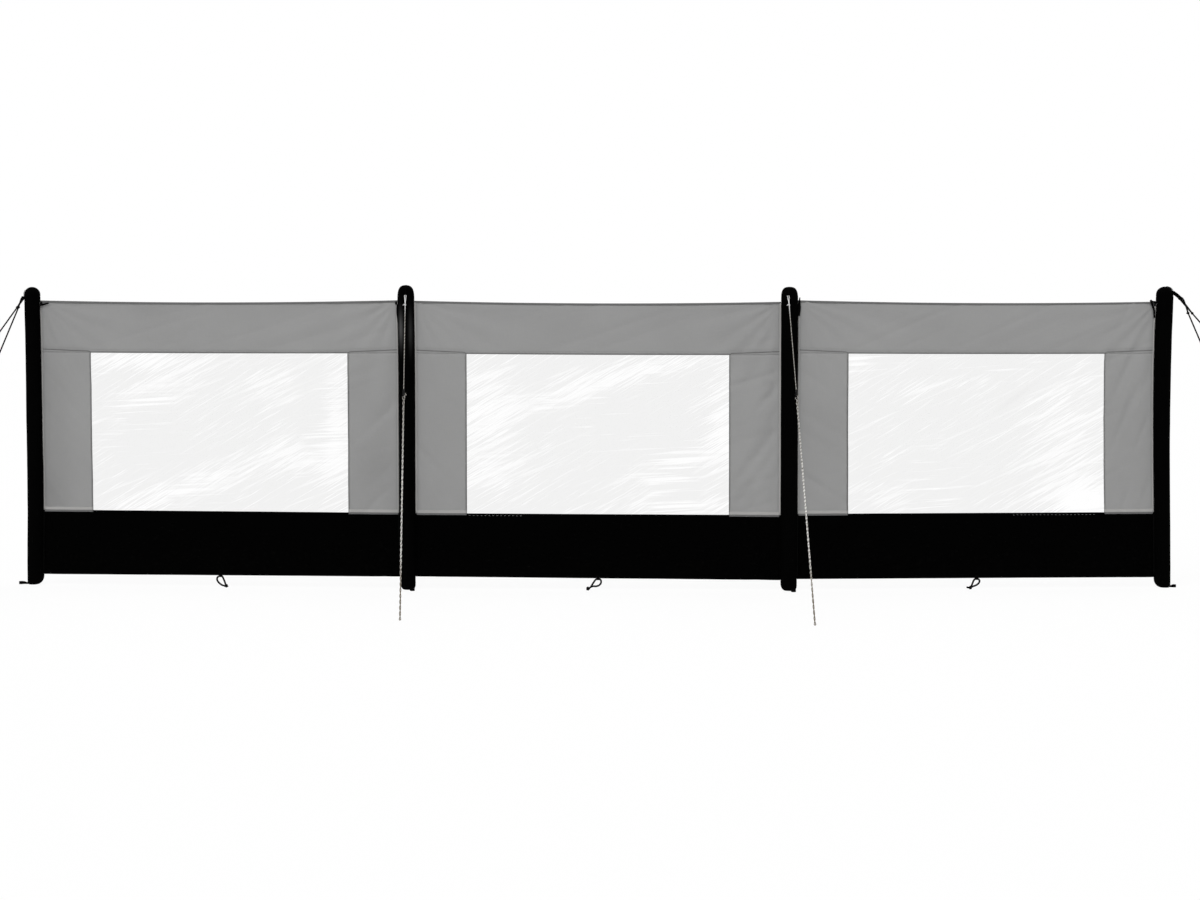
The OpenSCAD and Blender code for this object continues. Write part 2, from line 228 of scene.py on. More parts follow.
class NodePad:
    """Adds nodes to one tree and joins them."""

    def __init__(self, tree: Nodes) -> None:
        """Starts on an empty tree of a material, world or group."""
        self.tree = tree
        tree.nodes.clear()

    def add(self, kind: str, inputs: dict | None = None, **settings: object) -> bpy.types.Node:
        """Adds one node.

        Args:
            kind: Blender's name of the node type.
            inputs: socket name or index to a value, or to a socket to link from.
            settings: properties of the node.

        Returns:
            The new node.
        """
        node = self.tree.nodes.new(kind)
        for key, value in settings.items():
            setattr(node, key, value)
        for key, value in (inputs or {}).items():
            if isinstance(value, Socket):
                self.tree.links.new(value, node.inputs[key])
            else:
                node.inputs[key].default_value = value
        return node

    def math(self, operation: str, a: Socket | float, b: Socket | float = 0.0, c: float = 0.0) -> Socket:
        """Adds a Math node and gives its result."""
        return self.add("ShaderNodeMath", {0: a, 1: b, 2: c}, operation=operation).outputs[0]

    def blend(self, share: Socket | float, a: Socket | tuple, b: Socket | tuple) -> Socket:
        """Adds a colour mix and gives its result."""
        return self.add("ShaderNodeMix", {0: share, 6: a, 7: b}, data_type="RGBA").outputs[2]

    def stretch(self, value: Socket, low: float, high: float, to_low: float = 0.0,
                to_high: float = 1.0) -> Socket:
        """Maps a value from one range to another, clamped, and gives the result."""
        return self.add("ShaderNodeMapRange", {0: value, 1: low, 2: high, 3: to_low, 4: to_high}).outputs[0]

    def noise(self, place: Socket, scale: float, detail: float, **more: float) -> Socket:
        """Adds a noise texture and gives its level."""
        node = self.add("ShaderNodeTexNoise", {"Vector": place, "Scale": scale, "Detail": detail, **more})
        return node.outputs["Fac"]

    def mapped(self, place: Socket, **moves: tuple[float, float, float]) -> Socket:
        """Adds a Mapping node and gives the moved place."""
        return self.add("ShaderNodeMapping", {"Vector": place, **moves}).outputs[0]

    def place(self, kind: str) -> Socket:
        """Adds one kind of texture coordinates."""
        return self.add("ShaderNodeTexCoord").outputs[kind]

    def split(self, vector: Socket) -> Sockets:
        """Parts a vector and gives its three numbers."""
        return self.add("ShaderNodeSeparateXYZ", {0: vector}).outputs

    def attribute(self, name: str, kind: str) -> Socket:
        """Adds one of a mesh's own attributes."""
        return self.add("ShaderNodeAttribute", attribute_name=name).outputs[kind]

    def group(self, tree: Nodes, **values: Socket | float) -> Sockets:
        """Adds a shared effect and gives its outputs."""
        return self.add("ShaderNodeGroup", values, node_tree=tree).outputs

    def bump(self, strength: float, distance: float, height: Socket) -> Socket:
        """Adds a Bump node and gives its normal."""
        node = self.add("ShaderNodeBump", {"Strength": strength, "Distance": distance, "Height": height})
        return node.outputs[0]


FLOAT, VECTOR = "NodeSocketFloat", "NodeSocketVector"


def new_group(name: str, inputs: dict[str, str], outputs: Sequence[str]) -> tuple[Nodes, NodePad, Sockets]:
    """Starts a shader node group.

    Args:
        name: name of the group.
        inputs: names of its inputs and their socket types.
        outputs: names of the numbers that it gives.

    Returns:
        The group, the pad that fills it and its inputs.
    """
    group = bpy.data.node_groups.new(name, "ShaderNodeTree")
    pad = NodePad(group)
    for label, kind in inputs.items():
        group.interface.new_socket(label, in_out="INPUT", socket_type=kind)
    for label in outputs:
        group.interface.new_socket(label, in_out="OUTPUT", socket_type=FLOAT)
    return group, pad, pad.add("NodeGroupInput").outputs


def weave_group() -> Nodes:
    """Plain weave with uneven yarns: from a place in metres to a height and a tone."""
    group, pad, ends = new_group("plain_weave", {"Place": VECTOR, "Yarns": FLOAT}, ("Height", "Tone"))
    split = pad.split(ends["Place"])
    turns = pad.math("MULTIPLY", ends["Yarns"], math.pi)
    across, along = (pad.math("SINE", pad.math("MULTIPLY", split[axis], turns)) for axis in "XY")
    height = pad.math("MULTIPLY_ADD", pad.math("MULTIPLY", across, along), 0.5, 0.5)
    slub, warp = (pad.noise(pad.mapped(ends["Place"], Scale=scale), 1.0, 2.0)
                  for scale in ((24.0, 420.0, 1.0), (420.0, 24.0, 1.0)))
    tone = pad.math("ADD", pad.math("MULTIPLY", height, 0.35),
                    pad.math("MULTIPLY", pad.math("ADD", slub, warp), 0.325))
    pad.add("NodeGroupOutput", {"Height": height, "Tone": tone})
    return group


def wear_group() -> Nodes:
    """Handling marks, dust and a dusty foot: from a foot height to a cloudy tone and a dust mask."""
    group, pad, ends = new_group("beach_wear", {"Foot": FLOAT}, ("Cloud", "Dust"))
    place = pad.place("Object")
    cloud, grit = pad.noise(place, 3.2, 4.0, Roughness=0.55), pad.noise(place, 90.0, 3.0)
    low = pad.math("SUBTRACT", 1.0, pad.math("DIVIDE", pad.split(place)["Z"], ends["Foot"]))
    dusty = pad.math("MULTIPLY_ADD", pad.math("MAXIMUM", low, 0.0), 0.8, 0.2)
    dust = pad.math("MULTIPLY", pad.stretch(grit, 0.52, 0.72), dusty)
    pad.add("NodeGroupOutput", {"Cloud": cloud, "Dust": dust})
    return group


def lay_group() -> Nodes:
    """Spiral lay of a rope: from its own attribute to a tracer mask and a fibre height."""
    group, pad, ends = new_group("rope_lay", {"Fleck": FLOAT}, ("Tracer", "Fibre"))
    split = pad.split(pad.attribute("lay", "Vector"))
    along = pad.add("ShaderNodeCombineXYZ", {0: split["Z"]}).outputs[0]
    patchy = pad.math("MULTIPLY", pad.math("SUBTRACT", pad.noise(along, 48.0, 2.0), 0.5), 3.4)
    mark = pad.math("ADD", pad.math("ADD", split["X"], patchy), ends["Fleck"])
    fibre = pad.noise(pad.place("Object"), 1400.0, 2.0)
    pad.add("NodeGroupOutput", {"Tracer": pad.stretch(mark, -0.15, 0.2), "Fibre": fibre})
    return group


class Effects:
    """The node groups that the finishes share."""

    def __init__(self) -> None:
        """Builds each group once."""
        self.weave, self.wear, self.lay = weave_group(), wear_group(), lay_group()


def shade(value: float, tint: Size = (1.0, 1.0, 1.0)) -> Colour:
    """Linear colour of a grey level with a slight tint."""
    return (value * tint[0], value * tint[1], value * tint[2], 1.0)


def start_material(name: str) -> tuple[Surface, NodePad]:
    """Starts a material with an empty tree and gives the pad that fills it."""
    surface = bpy.data.materials.new(name)
    surface.use_nodes = True
    return surface, NodePad(surface.node_tree)


@dataclass(frozen=True)
class Mark:
    """A soft oval where light, sheen or shade is painted on a cloth: middle, half sizes along and across, weight
    and slope in degrees.
    """

    x: float
    z: float
    long: float
    wide: float
    weight: float
    slope: float = 0.0

    def at(self, x: float, z: float) -> float:
        """How much of the mark shows at a point."""
        a = math.radians(self.slope)
        along = (x - self.x) * math.cos(a) + (z - self.z) * math.sin(a)
        across = (z - self.z) * math.cos(a) - (x - self.x) * math.sin(a)
        return self.weight * math.exp(-(along / self.long) ** 2 - (across / self.wide) ** 2)


# Painted reflections on the windows: patches where the whiter streaks grow stronger; the one negative weight
# darkens the film in a patch instead.
FILM_PAINTED_PATCHES = {
    Bay.LEFT: (
        Mark(0.43, 0.99, 0.28, 0.05, 0.90), Mark(0.51, 0.83, 0.28, 0.10, 0.75, 25),
        Mark(0.71, 0.45, 0.42, 0.06, 1.10, 20), Mark(1.34, 0.71, 0.07, 0.28, 1.00),
        Mark(1.22, 0.56, 0.14, 0.07, 0.90), Mark(1.05, 0.88, 0.18, 0.09, 0.50, 25)),
    Bay.MIDDLE: (
        Mark(0.33, 0.78, 0.16, 0.21, 0.95), Mark(0.88, 0.91, 0.44, 0.05, 1.15, 17),
        Mark(1.17, 0.54, 0.26, 0.07, 0.90, 25), Mark(1.22, 0.36, 0.25, 0.04, 0.90),
        Mark(0.37, 0.51, 0.18, 0.11, 0.60), Mark(1.36, 0.75, 0.06, 0.24, 0.80)),
    Bay.RIGHT: (
        Mark(0.29, 0.99, 0.09, 0.05, 0.90), Mark(0.58, 0.88, 0.24, 0.03, 0.50, 8),
        Mark(1.22, 0.68, 0.24, 0.28, 0.65), Mark(1.31, 0.38, 0.18, 0.08, 1.60),
        Mark(0.44, 0.40, 0.10, 0.06, 0.50), Mark(1.01, 0.84, 0.15, 0.02, -1.00, 35))}
# Painted shade on the left bay's grey cloth: darker patches beside the end post, at the bottom corners and on the
# band, standing in for shade where the cloth turns from the light.
CLOTH_PAINTED_SHADE = {
    Bay.LEFT: (
        Mark(0.037, 0.62, 0.12, 0.60, 0.13), Mark(0.06, 0.37, 0.10, 0.10, 0.08),
        Mark(1.50, 0.52, 0.11, 0.17, 0.09), Mark(0.53, 1.21, 0.12, 0.05, 0.06))}
# Painted sheen: soft lighter bands up the front sides of the left inner sleeve, standing in for light on its
# cloth.
SLEEVE_PAINTED_SHEEN = {
    Post.LEFT_INNER: (Mark(-0.022, 1.127, 0.009, 0.062, 0.80), Mark(0.021, 1.118, 0.008, 0.075, 0.28))}
# Pale stitch rows on the black skirt under the windows: real stitches, sewn in grey thread to paint the glints of
# light along the skirt's top hem.
GLINT_STITCHES = {Bay.MIDDLE: (0.262, 0.51), Bay.RIGHT: (0.98, 1.37)}


@dataclass(frozen=True)
class Finish:
    """A finish of the windbreak, with the shader settings that its own kind gives."""

    name: str

    def shader(self, pad: NodePad, effects: Effects) -> dict:
        """Settings of the shader, by socket."""
        raise NotImplementedError(self.name)

    def material(self, effects: Effects) -> Surface:
        """Makes the material.

        Args:
            effects: the shared node groups.

        Returns:
            The finish as a material.
        """
        surface, pad = start_material(self.name)
        shader = pad.add("ShaderNodeBsdfPrincipled", self.shader(pad, effects))
        pad.add("ShaderNodeOutputMaterial", {"Surface": shader.outputs[0]})
        return surface


@dataclass(frozen=True)
class ClothFinish(Finish):
    """A woven cloth: its tone, its yarns, its gloss, its wear and its painted light and shade."""

    tone: float
    tint: Size = (1.0, 1.0, 1.0)
    yarns: float = 900.0
    contrast: float = 0.12
    cloud: float = 0.06
    dust: float = 0.0
    dust_tone: float = 0.2
    dust_tint: Size = (1.0, 0.95, 0.86)
    foot: float = 0.3
    roughness: float = 0.82
    gloss: float = 0.25
    bump: float = 0.12
    mark_tone: float = 0.0
    on_map: bool = True

    def shader(self, pad: NodePad, effects: Effects) -> dict:
        """Weaves the cloth, paints its light and shade marks and dusts it."""
        place = pad.place("UV" if self.on_map else "Object")
        weave = pad.group(effects.weave, Place=place, Yarns=self.yarns)
        wear = pad.group(effects.wear, Foot=self.foot)
        yarn = pad.stretch(weave["Tone"], 0.25, 0.75, 1 - self.contrast, 1 + self.contrast)
        cloudy = pad.stretch(wear["Cloud"], 0.3, 0.7, 1 - self.cloud, 1 + self.cloud)
        level = pad.math("MULTIPLY", pad.math("MULTIPLY", yarn, cloudy), 0.5)
        plain = pad.blend(level, shade(0.0), shade(2 * self.tone, self.tint))
        # painted light and shade: the marks turn the colour toward mark_tone, darker for painted shade on the
        # grey cloth and lighter for the painted sheen on the sleeve
        light_painted = pad.blend(pad.attribute("rub", "Fac"), plain, shade(self.mark_tone))
        dust = pad.math("MULTIPLY", wear["Dust"], self.dust)
        return {"Base Color": pad.blend(dust, light_painted, shade(self.dust_tone, self.dust_tint)),
                "Roughness": pad.stretch(wear["Cloud"], 0.3, 0.7, self.roughness - 0.06, self.roughness + 0.06),
                "Normal": pad.bump(self.bump, 0.0004, weave["Height"]), "Specular IOR Level": self.gloss}


@dataclass(frozen=True)
class FilmFinish(Finish):
    """Clear window film with painted reflections: whiter streaks in its colour that stand in for light reflected
    off the film.
    """

    name: str = "film_clear"
    tone: float = 0.885
    streak: float = 1.0
    slope: float = math.radians(27.0)
    roughness: float = 0.06
    rub_gain: float = 0.145

    def strokes(self, pad: NodePad, place: Socket, rub: Socket, slope: float, scale: Span,
                edge: Span) -> Socket:
        """Adds one layer of painted reflection strokes.

        Args:
            pad: the material's pad.
            place: the film's own map, in metres.
            rub: how much light is painted on the film at a point.
            slope: how steeply the strokes rise, as a share of the film's own slope.
            scale: strokes per metre along and across them.
            edge: noise levels where a stroke starts and where it is full.

        Returns:
            A mask of the painted reflection strokes.
        """
        turned = pad.mapped(place, Rotation=(0, 0, -self.slope * slope))
        marks = pad.noise(pad.mapped(turned, Scale=(*scale, 1.0)), 1.0, 4.0, Roughness=0.6, Distortion=0.15)
        return pad.stretch(pad.math("ADD", marks, pad.math("MULTIPLY", rub, self.rub_gain)), *edge)

    def shader(self, pad: NodePad, effects: Effects) -> dict:
        """Paints the reflection strokes, level in patches and slanting elsewhere, and darkens the film in
        patches.
        """
        place, rub = pad.place("UV"), pad.attribute("rub", "Fac")
        broad = self.strokes(pad, place, rub, 0.85, (1.7, 46.0), (0.585, 0.68))
        fine = self.strokes(pad, place, rub, 1.15, (4.4, 140.0), (0.58, 0.67))
        level = self.strokes(pad, place, rub, 0.12, (2.2, 74.0), (0.585, 0.68))
        flat = pad.stretch(pad.noise(place, 2.2, 3.0), 0.50, 0.38)
        slant = pad.math("MAXIMUM", pad.math("MULTIPLY", broad, 0.75), fine)
        mask = pad.math("ADD", pad.math("MULTIPLY", level, flat),
                        pad.math("MULTIPLY", slant, pad.math("SUBTRACT", 1.0, flat)))
        mask = pad.math("MAXIMUM", mask, pad.stretch(rub, 1.0, 1.5))
        # darker patches where the painted marks fall below zero
        patch_mask = pad.math("MULTIPLY", pad.stretch(rub, -0.25, -0.8), pad.math("ADD", slant, 0.5))
        clear = pad.blend(patch_mask, shade(self.tone, (1.0, 1.0, 0.998)), shade(self.tone * 0.93))
        # painted reflection: the streak mask turns the film's colour toward white
        return {"Base Color": pad.blend(mask, clear, shade(self.streak)), "Roughness": self.roughness,
                "Normal": pad.bump(0.10, 0.002, mask), "Transmission Weight": 1.0, "IOR": 1.30}


@dataclass(frozen=True)
class RopeFinish(Finish):
    """A flecked rope: ground and tracer colours, how soiled it is at the ground, and how much it darkens midway
    up and lightens near the top.
    """

    ground: Colour
    tracer: Colour
    fleck: float = 0.0
    soil: Colour = (0.095, 0.066, 0.026, 1.0)
    soiled: float = 0.1
    fresh: float = 0.0
    aged: float = 0.0
    roughness: float = 0.7
    gloss: float = 0.04

    def shader(self, pad: NodePad, effects: Effects) -> dict:
        """Lays the strands and tones them by height: sandy at the ground, darker toward the tracer colour from
        0.5 to 0.85 m up, and lighter near the top.
        """
        lay = pad.group(effects.lay, Fleck=self.fleck)
        mixed = pad.blend(lay["Tracer"], self.ground, self.tracer)
        worn = pad.blend(pad.stretch(lay["Fibre"], 0.3, 0.7, 0.0, 0.35), mixed,
                         tuple(0.6 * c for c in self.ground[:3]) + (1.0,))
        height = pad.split(pad.place("Object"))["Z"]
        mid_darkened = pad.blend(pad.stretch(height, 0.50, 0.85, 0.0, self.aged), worn, self.tracer)
        # fresh: how far the rope turns toward pale grey between 1.18 and 1.215 m up
        top_lightened = pad.blend(pad.stretch(height, 1.18, 1.215, 0.0, self.fresh), mid_darkened, shade(0.8))
        return {"Base Color": pad.blend(pad.stretch(height, 0.24, 0.10, 0.0, self.soiled), top_lightened, self.soil),
                "Normal": pad.bump(0.3, 0.0006, lay["Fibre"]), "Roughness": self.roughness,
                "Specular IOR Level": self.gloss}


@dataclass(frozen=True)
class PlasticFinish(Finish):
    """Moulded plastic with a fine spark-eroded grain and rubbed high spots."""

    tone: float
    grain: float = 900.0
    roughness: float = 0.42
    gloss: float = 0.08

    def shader(self, pad: NodePad, effects: Effects) -> dict:
        """Grains and scuffs the plastic."""
        grain = pad.noise(pad.place("Object"), self.grain, 3.0)
        wear = pad.group(effects.wear, Foot=0.2)
        patch_mask = pad.stretch(wear["Dust"], 0.0, 0.2, 0.0, 0.5)
        return {"Base Color": pad.blend(patch_mask, shade(self.tone), shade(self.tone * 2.4)),
                "Roughness": pad.stretch(wear["Cloud"], 0.3, 0.7, self.roughness - 0.08, self.roughness + 0.1),
                "Normal": pad.bump(0.15, 0.0003, grain), "Specular IOR Level": self.gloss}


class Finishes:
    """Every finish of the windbreak, made once."""

    def __init__(self) -> None:
        """Makes the shared effects and the materials."""
        self.effects = Effects()
        black = dict(contrast=0.5, cloud=0.25, gloss=0.007)
        thread = dict(yarns=2600, on_map=False)
        # the sleeve's lighter mark_tone paints a sheen where its marks lie
        self.sleeve = self.made(ClothFinish(
            "sleeve_black", 0.0006, yarns=1100, roughness=0.75, dust=0.04, dust_tone=0.03, foot=0.12,
            mark_tone=0.075, **black))
        # the grey cloth's mark_tone is black, so its marks paint shade
        self.grey = self.made(ClothFinish(
            "cloth_grey", 0.264, (1.0, 1.0, 0.995), contrast=0.06, cloud=0.035, dust=0.10, dust_tone=0.32,
            foot=0.5))
        # real hems and welts; their lighter grey is partly a painted highlight on the rolled edges by the posts
        # and at the side panels' bottoms
        self.hem = self.made(ClothFinish("hem_grey", 0.33, (1.0, 0.985, 0.96), contrast=0.07, cloud=0.05))
        # real binding and seam tapes; their dark grey is partly painted shade in the top fold and under the
        # band's lower edge
        self.binding = self.made(ClothFinish("binding_grey", 0.118, contrast=0.2, cloud=0.08, yarns=700))
        self.skirt = self.made(ClothFinish(
            "cloth_black", 0.0004, dust=0.05, dust_tone=0.03, foot=0.25, roughness=0.8, **black))
        self.webbing = self.made(ClothFinish("webbing_black", 0.002, yarns=620, bump=0.5, **black))
        self.film = self.made(FilmFinish())
        self.rope_pale = self.made(RopeFinish(
            "rope_pale", shade(0.92, (1.0, 0.985, 0.95)), shade(0.09, (1.0, 0.84, 0.62)), -0.36,
            soiled=0.95, fresh=0.75, aged=0.56, gloss=0.1))
        self.rope_dark = self.made(RopeFinish("rope_dark", shade(0.003), shade(0.05, (1.0, 0.88, 0.72)), -1.10))
        self.cord = self.made(RopeFinish("cord_black", shade(0.002), shade(0.006), -0.3, soiled=0.0))
        self.thread_grey = self.made(ClothFinish("thread_grey", 0.20, **thread))
        self.thread_black = self.made(ClothFinish("thread_black", 0.0015, **thread, **black))
        self.plastic = self.made(PlasticFinish("plastic_black", 0.003))
        self.coil = self.made(PlasticFinish("zip_coil_black", 0.0015, roughness=0.6))

    def made(self, finish: Finish) -> Surface:
        """Makes one finish with the shared effects."""
        return finish.material(self.effects)


@dataclass(frozen=True)
class Creases:
    """Slack in one bay's cloth: fans drawn from its corners, slanting folds and a soft roll."""

    seed: float
    fan: float = 0.0033
    strain: float = 0.0042
    strain_slope: float = 21.0
    roll: float = 0.0030
    ripple: float = 0.0012
    drag: float = 0.0095
    drag_slopes: Span = (-40.0, 58.0)
    rumple: float = 0.0016
    tuck: float = 0.0036
    tuck_reach: float = 0.4

    def roughly(self, x: float, z: float, layer: int) -> float:
        """One of the bay's own layers of noise."""
        return noise.noise(Vector((x, z, self.seed + layer)))

    def drawn(self, x: float, z: float, slope: float, fine: Span, layer: int) -> float:
        """Folds drawn out along a slope, as fine across and along it as given."""
        across, along = z * math.cos(slope) - x * math.sin(slope), x * math.cos(slope) + z * math.sin(slope)
        return max(0.0, self.roughly(across * fine[0], along * fine[1], layer))

    def at(self, x: float, z: float) -> float:
        """Depth of the cloth at a point.

        Args:
            x: place along the bay.
            z: height.

        Returns:
            How far the cloth stands behind its plane.
        """
        depth = 0.0
        corners = ((RUN.edge_x, RUN.top_z, 1.0, 21.0), (RUN.far_x, RUN.top_z, 1.0, 19.0),
                   (RUN.edge_x, RUN.hem_z, 0.55, 17.0), (RUN.far_x, RUN.hem_z, 0.55, 23.0))
        for number, (corner_x, corner_z, weight, fans) in enumerate(corners):
            across, down = abs(x - corner_x), abs(z - corner_z)
            reach, angle = math.hypot(across, down), math.atan2(down, across + 1e-6)
            wave = math.sin(angle * fans + 2.6 * self.roughly(x * 2.3, z * 2.3, number) + self.seed)
            depth += self.fan * weight * wave * reach / (reach + 0.10) * math.exp(-reach / 0.62)
            if corner_z == RUN.top_z and reach < self.tuck_reach:
                wave = math.sin(angle * 14.0 + 2.0 * self.roughly(x * 6.0, z * 6.0, 21) + 3 * self.seed)
                depth += self.tuck * wave * reach / (reach + 0.04) * math.exp(-reach / 0.10)
        depth += self.roll * self.roughly(x * 1.7, z * 2.4, 5)
        depth += self.ripple * self.roughly(x * 9.0 + z * 6.0, z * 4.0 - x * 3.0, 9)
        slope = math.radians(self.strain_slope) + 0.08 * math.sin(self.seed)
        taut = self.drawn(x, z, slope, (34.0, 1.7), 25)
        depth += self.strain * taut ** 1.4 * min(1.0, max(0.0, x / 0.7))
        inset, late = min(x - RUN.edge_x, RUN.far_x - x), x > RUN.pitch / 2
        near = math.exp(-(inset / 0.20) ** 2)
        slope = math.radians(self.drag_slopes[late]) + 0.25 * math.sin(self.seed)
        fold = self.drawn(x, z, slope, (21.0, 2.4), 13) ** 1.5 * 1.6 - 0.2
        depth += self.drag * (1.0 if late else 0.6) * fold * near
        rumpled = self.roughly(x * 26.0, z * 34.0, 17)
        depth += self.rumple * rumpled * near * math.exp(-abs(z - RUN.skirt_top - 0.03) / 0.06)
        return depth * max(0.0, min(1.0, inset / 0.03))


def put_in(name: str, data: bpy.types.ID) -> Piece:
    """Makes an object of some data and puts it in the scene."""
    piece = bpy.data.objects.new(name, data)
    bpy.context.collection.objects.link(piece)
    return piece


def finish_piece(shape: Shape, name: str, surface: Surface, slot: str,
                 nodes: Sequence[str] = (), smooth: bool = True) -> Piece:
    """Turns a mesh into a piece that rides on the windbreak.

    Args:
        shape: the finished mesh, in the object's frame.
        name: name of the piece.
        surface: its material.
        slot: the record's material slot; not used.
        nodes: CAD nodes that it stands for.
        smooth: whether its faces shade smoothly.

    Returns:
        The new object.
    """
    mesh = bpy.data.meshes.new(name)
    shape.to_mesh(mesh)
    shape.free()
    if smooth:
        mesh.shade_smooth()
    mesh.materials.append(surface)
    piece = put_in(name, mesh)
    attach(piece, BODY)
    if nodes:
        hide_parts(*nodes)
    LOG.info("%s: %d faces", name, len(mesh.polygons))
    return piece


def merge(part: Shape, shape: Shape) -> None:
    """Moves a small mesh into a larger one."""
    mesh = bpy.data.meshes.new("part")
    part.to_mesh(mesh)
    part.free()
    shape.from_mesh(mesh)
    bpy.data.meshes.remove(mesh)


class Scatter:
    """Many small rounded bits in one mesh, made in batches."""

    batch = 40

    def __init__(self) -> None:
        """Starts an empty mesh."""
        self.shape, self.part, self.waiting = bmesh.new(), bmesh.new(), 0

    def add(self, place: Matrix) -> None:
        """Adds one bit, a unit ball in a frame of its own."""
        bmesh.ops.create_icosphere(self.part, subdivisions=1, radius=1.0, matrix=place)
        self.waiting += 1
        if self.waiting == self.batch:
            self.whole()

    def whole(self) -> Shape:
        """Joins the waiting bits to the whole and gives it."""
        merge(self.part, self.shape)
        self.part, self.waiting = bmesh.new(), 0
        return self.shape


def thicken(piece: Piece, depth: float) -> None:
    """Gives a sheet its thickness, half to each side, with a live modifier."""
    wall = piece.modifiers.new("thickness", "SOLIDIFY")
    wall.thickness, wall.offset = depth, 0.0


class ClothSheet:
    """A mesh of cloth in one bay, laid out flat on the bay's X and Z and then shaped."""

    map_step = 2.3

    def __init__(self, bay: Bay, marks: Sequence[Mark] = ()) -> None:
        """Starts an empty sheet with a map in metres.

        Args:
            bay: the bay that it belongs to.
            marks: where light or shade is painted on it.
        """
        self.bay, self.marks = bay, marks
        self.shape = bmesh.new()
        self.rub = self.shape.verts.layers.float.new("rub")
        self.map = self.shape.loops.layers.uv.new("cloth")

    def add(self, x: Span, z: Span, step: Span, put: Put) -> None:
        """Adds one rectangle of cloth.

        Args:
            x: first and last place along the bay.
            z: lowest and highest height.
            step: size of its mesh along X and Z.
            put: gives a vertex's place from x, z and its shares across the rectangle.
        """
        width, height = x[1] - x[0], z[1] - z[0]
        lay = (Matrix.Translation(((x[0] + x[1]) / 2, 0, (z[0] + z[1]) / 2))
               @ Matrix.Rotation(math.pi / 2, 4, "X") @ Matrix.Diagonal((width, height, 1, 1)))
        made = bmesh.ops.create_grid(self.shape, x_segments=max(1, round(width / step[0])),
                                     y_segments=max(1, round(height / step[1])), size=0.5, matrix=lay)
        flat = {}
        for vert in made["verts"]:
            flat[vert] = (vert.co.x + self.map_step * self.bay.value, vert.co.z)
            vert[self.rub] = sum(mark.at(vert.co.x, vert.co.z) for mark in self.marks)
            shares = ((vert.co.x - x[0]) / width, (vert.co.z - z[0]) / height)
            vert.co = put(vert.co.x, vert.co.z, *shares)
        for face in {face for vert in made["verts"] for face in vert.link_faces}:
            for loop in face.loops:
                loop[self.map].uv = flat[loop.vert]

    def place(self) -> Shape:
        """Settles the sheet in its bay and gives the mesh."""
        return RUN.settle(self.shape, self.bay)


@dataclass
class StitchRow:
    """A row of lockstitches on a bay's cloth."""

    start: Span
    end: Span
    depth: float = -0.0011
    reach: float = 0.0015
    pitch: float = 0.0052
    length: float = 0.0036
    width: float = 0.0009

    def sew(self, thread: Scatter, creases: Creases) -> None:
        """Adds the stitches to a mesh.

        Args:
            thread: stitches in the bay's frame.
            creases: the cloth's slack.
        """
        run_x, run_z = self.end[0] - self.start[0], self.end[1] - self.start[1]
        total = math.hypot(run_x, run_z)
        turn = Matrix.Rotation(-math.atan2(run_z, run_x), 4, "Y")
        size = Matrix.Diagonal((self.length / 2, self.reach, self.width / 2, 1))
        for number in range(int(total / self.pitch)):
            share = (number + 0.5) * self.pitch / total
            x, z = self.start[0] + run_x * share, self.start[1] + run_z * share
            place = Matrix.Translation((x, self.depth + creases.at(x, z), RUN.sagged(x, z)))
            thread.add(place @ turn @ size)


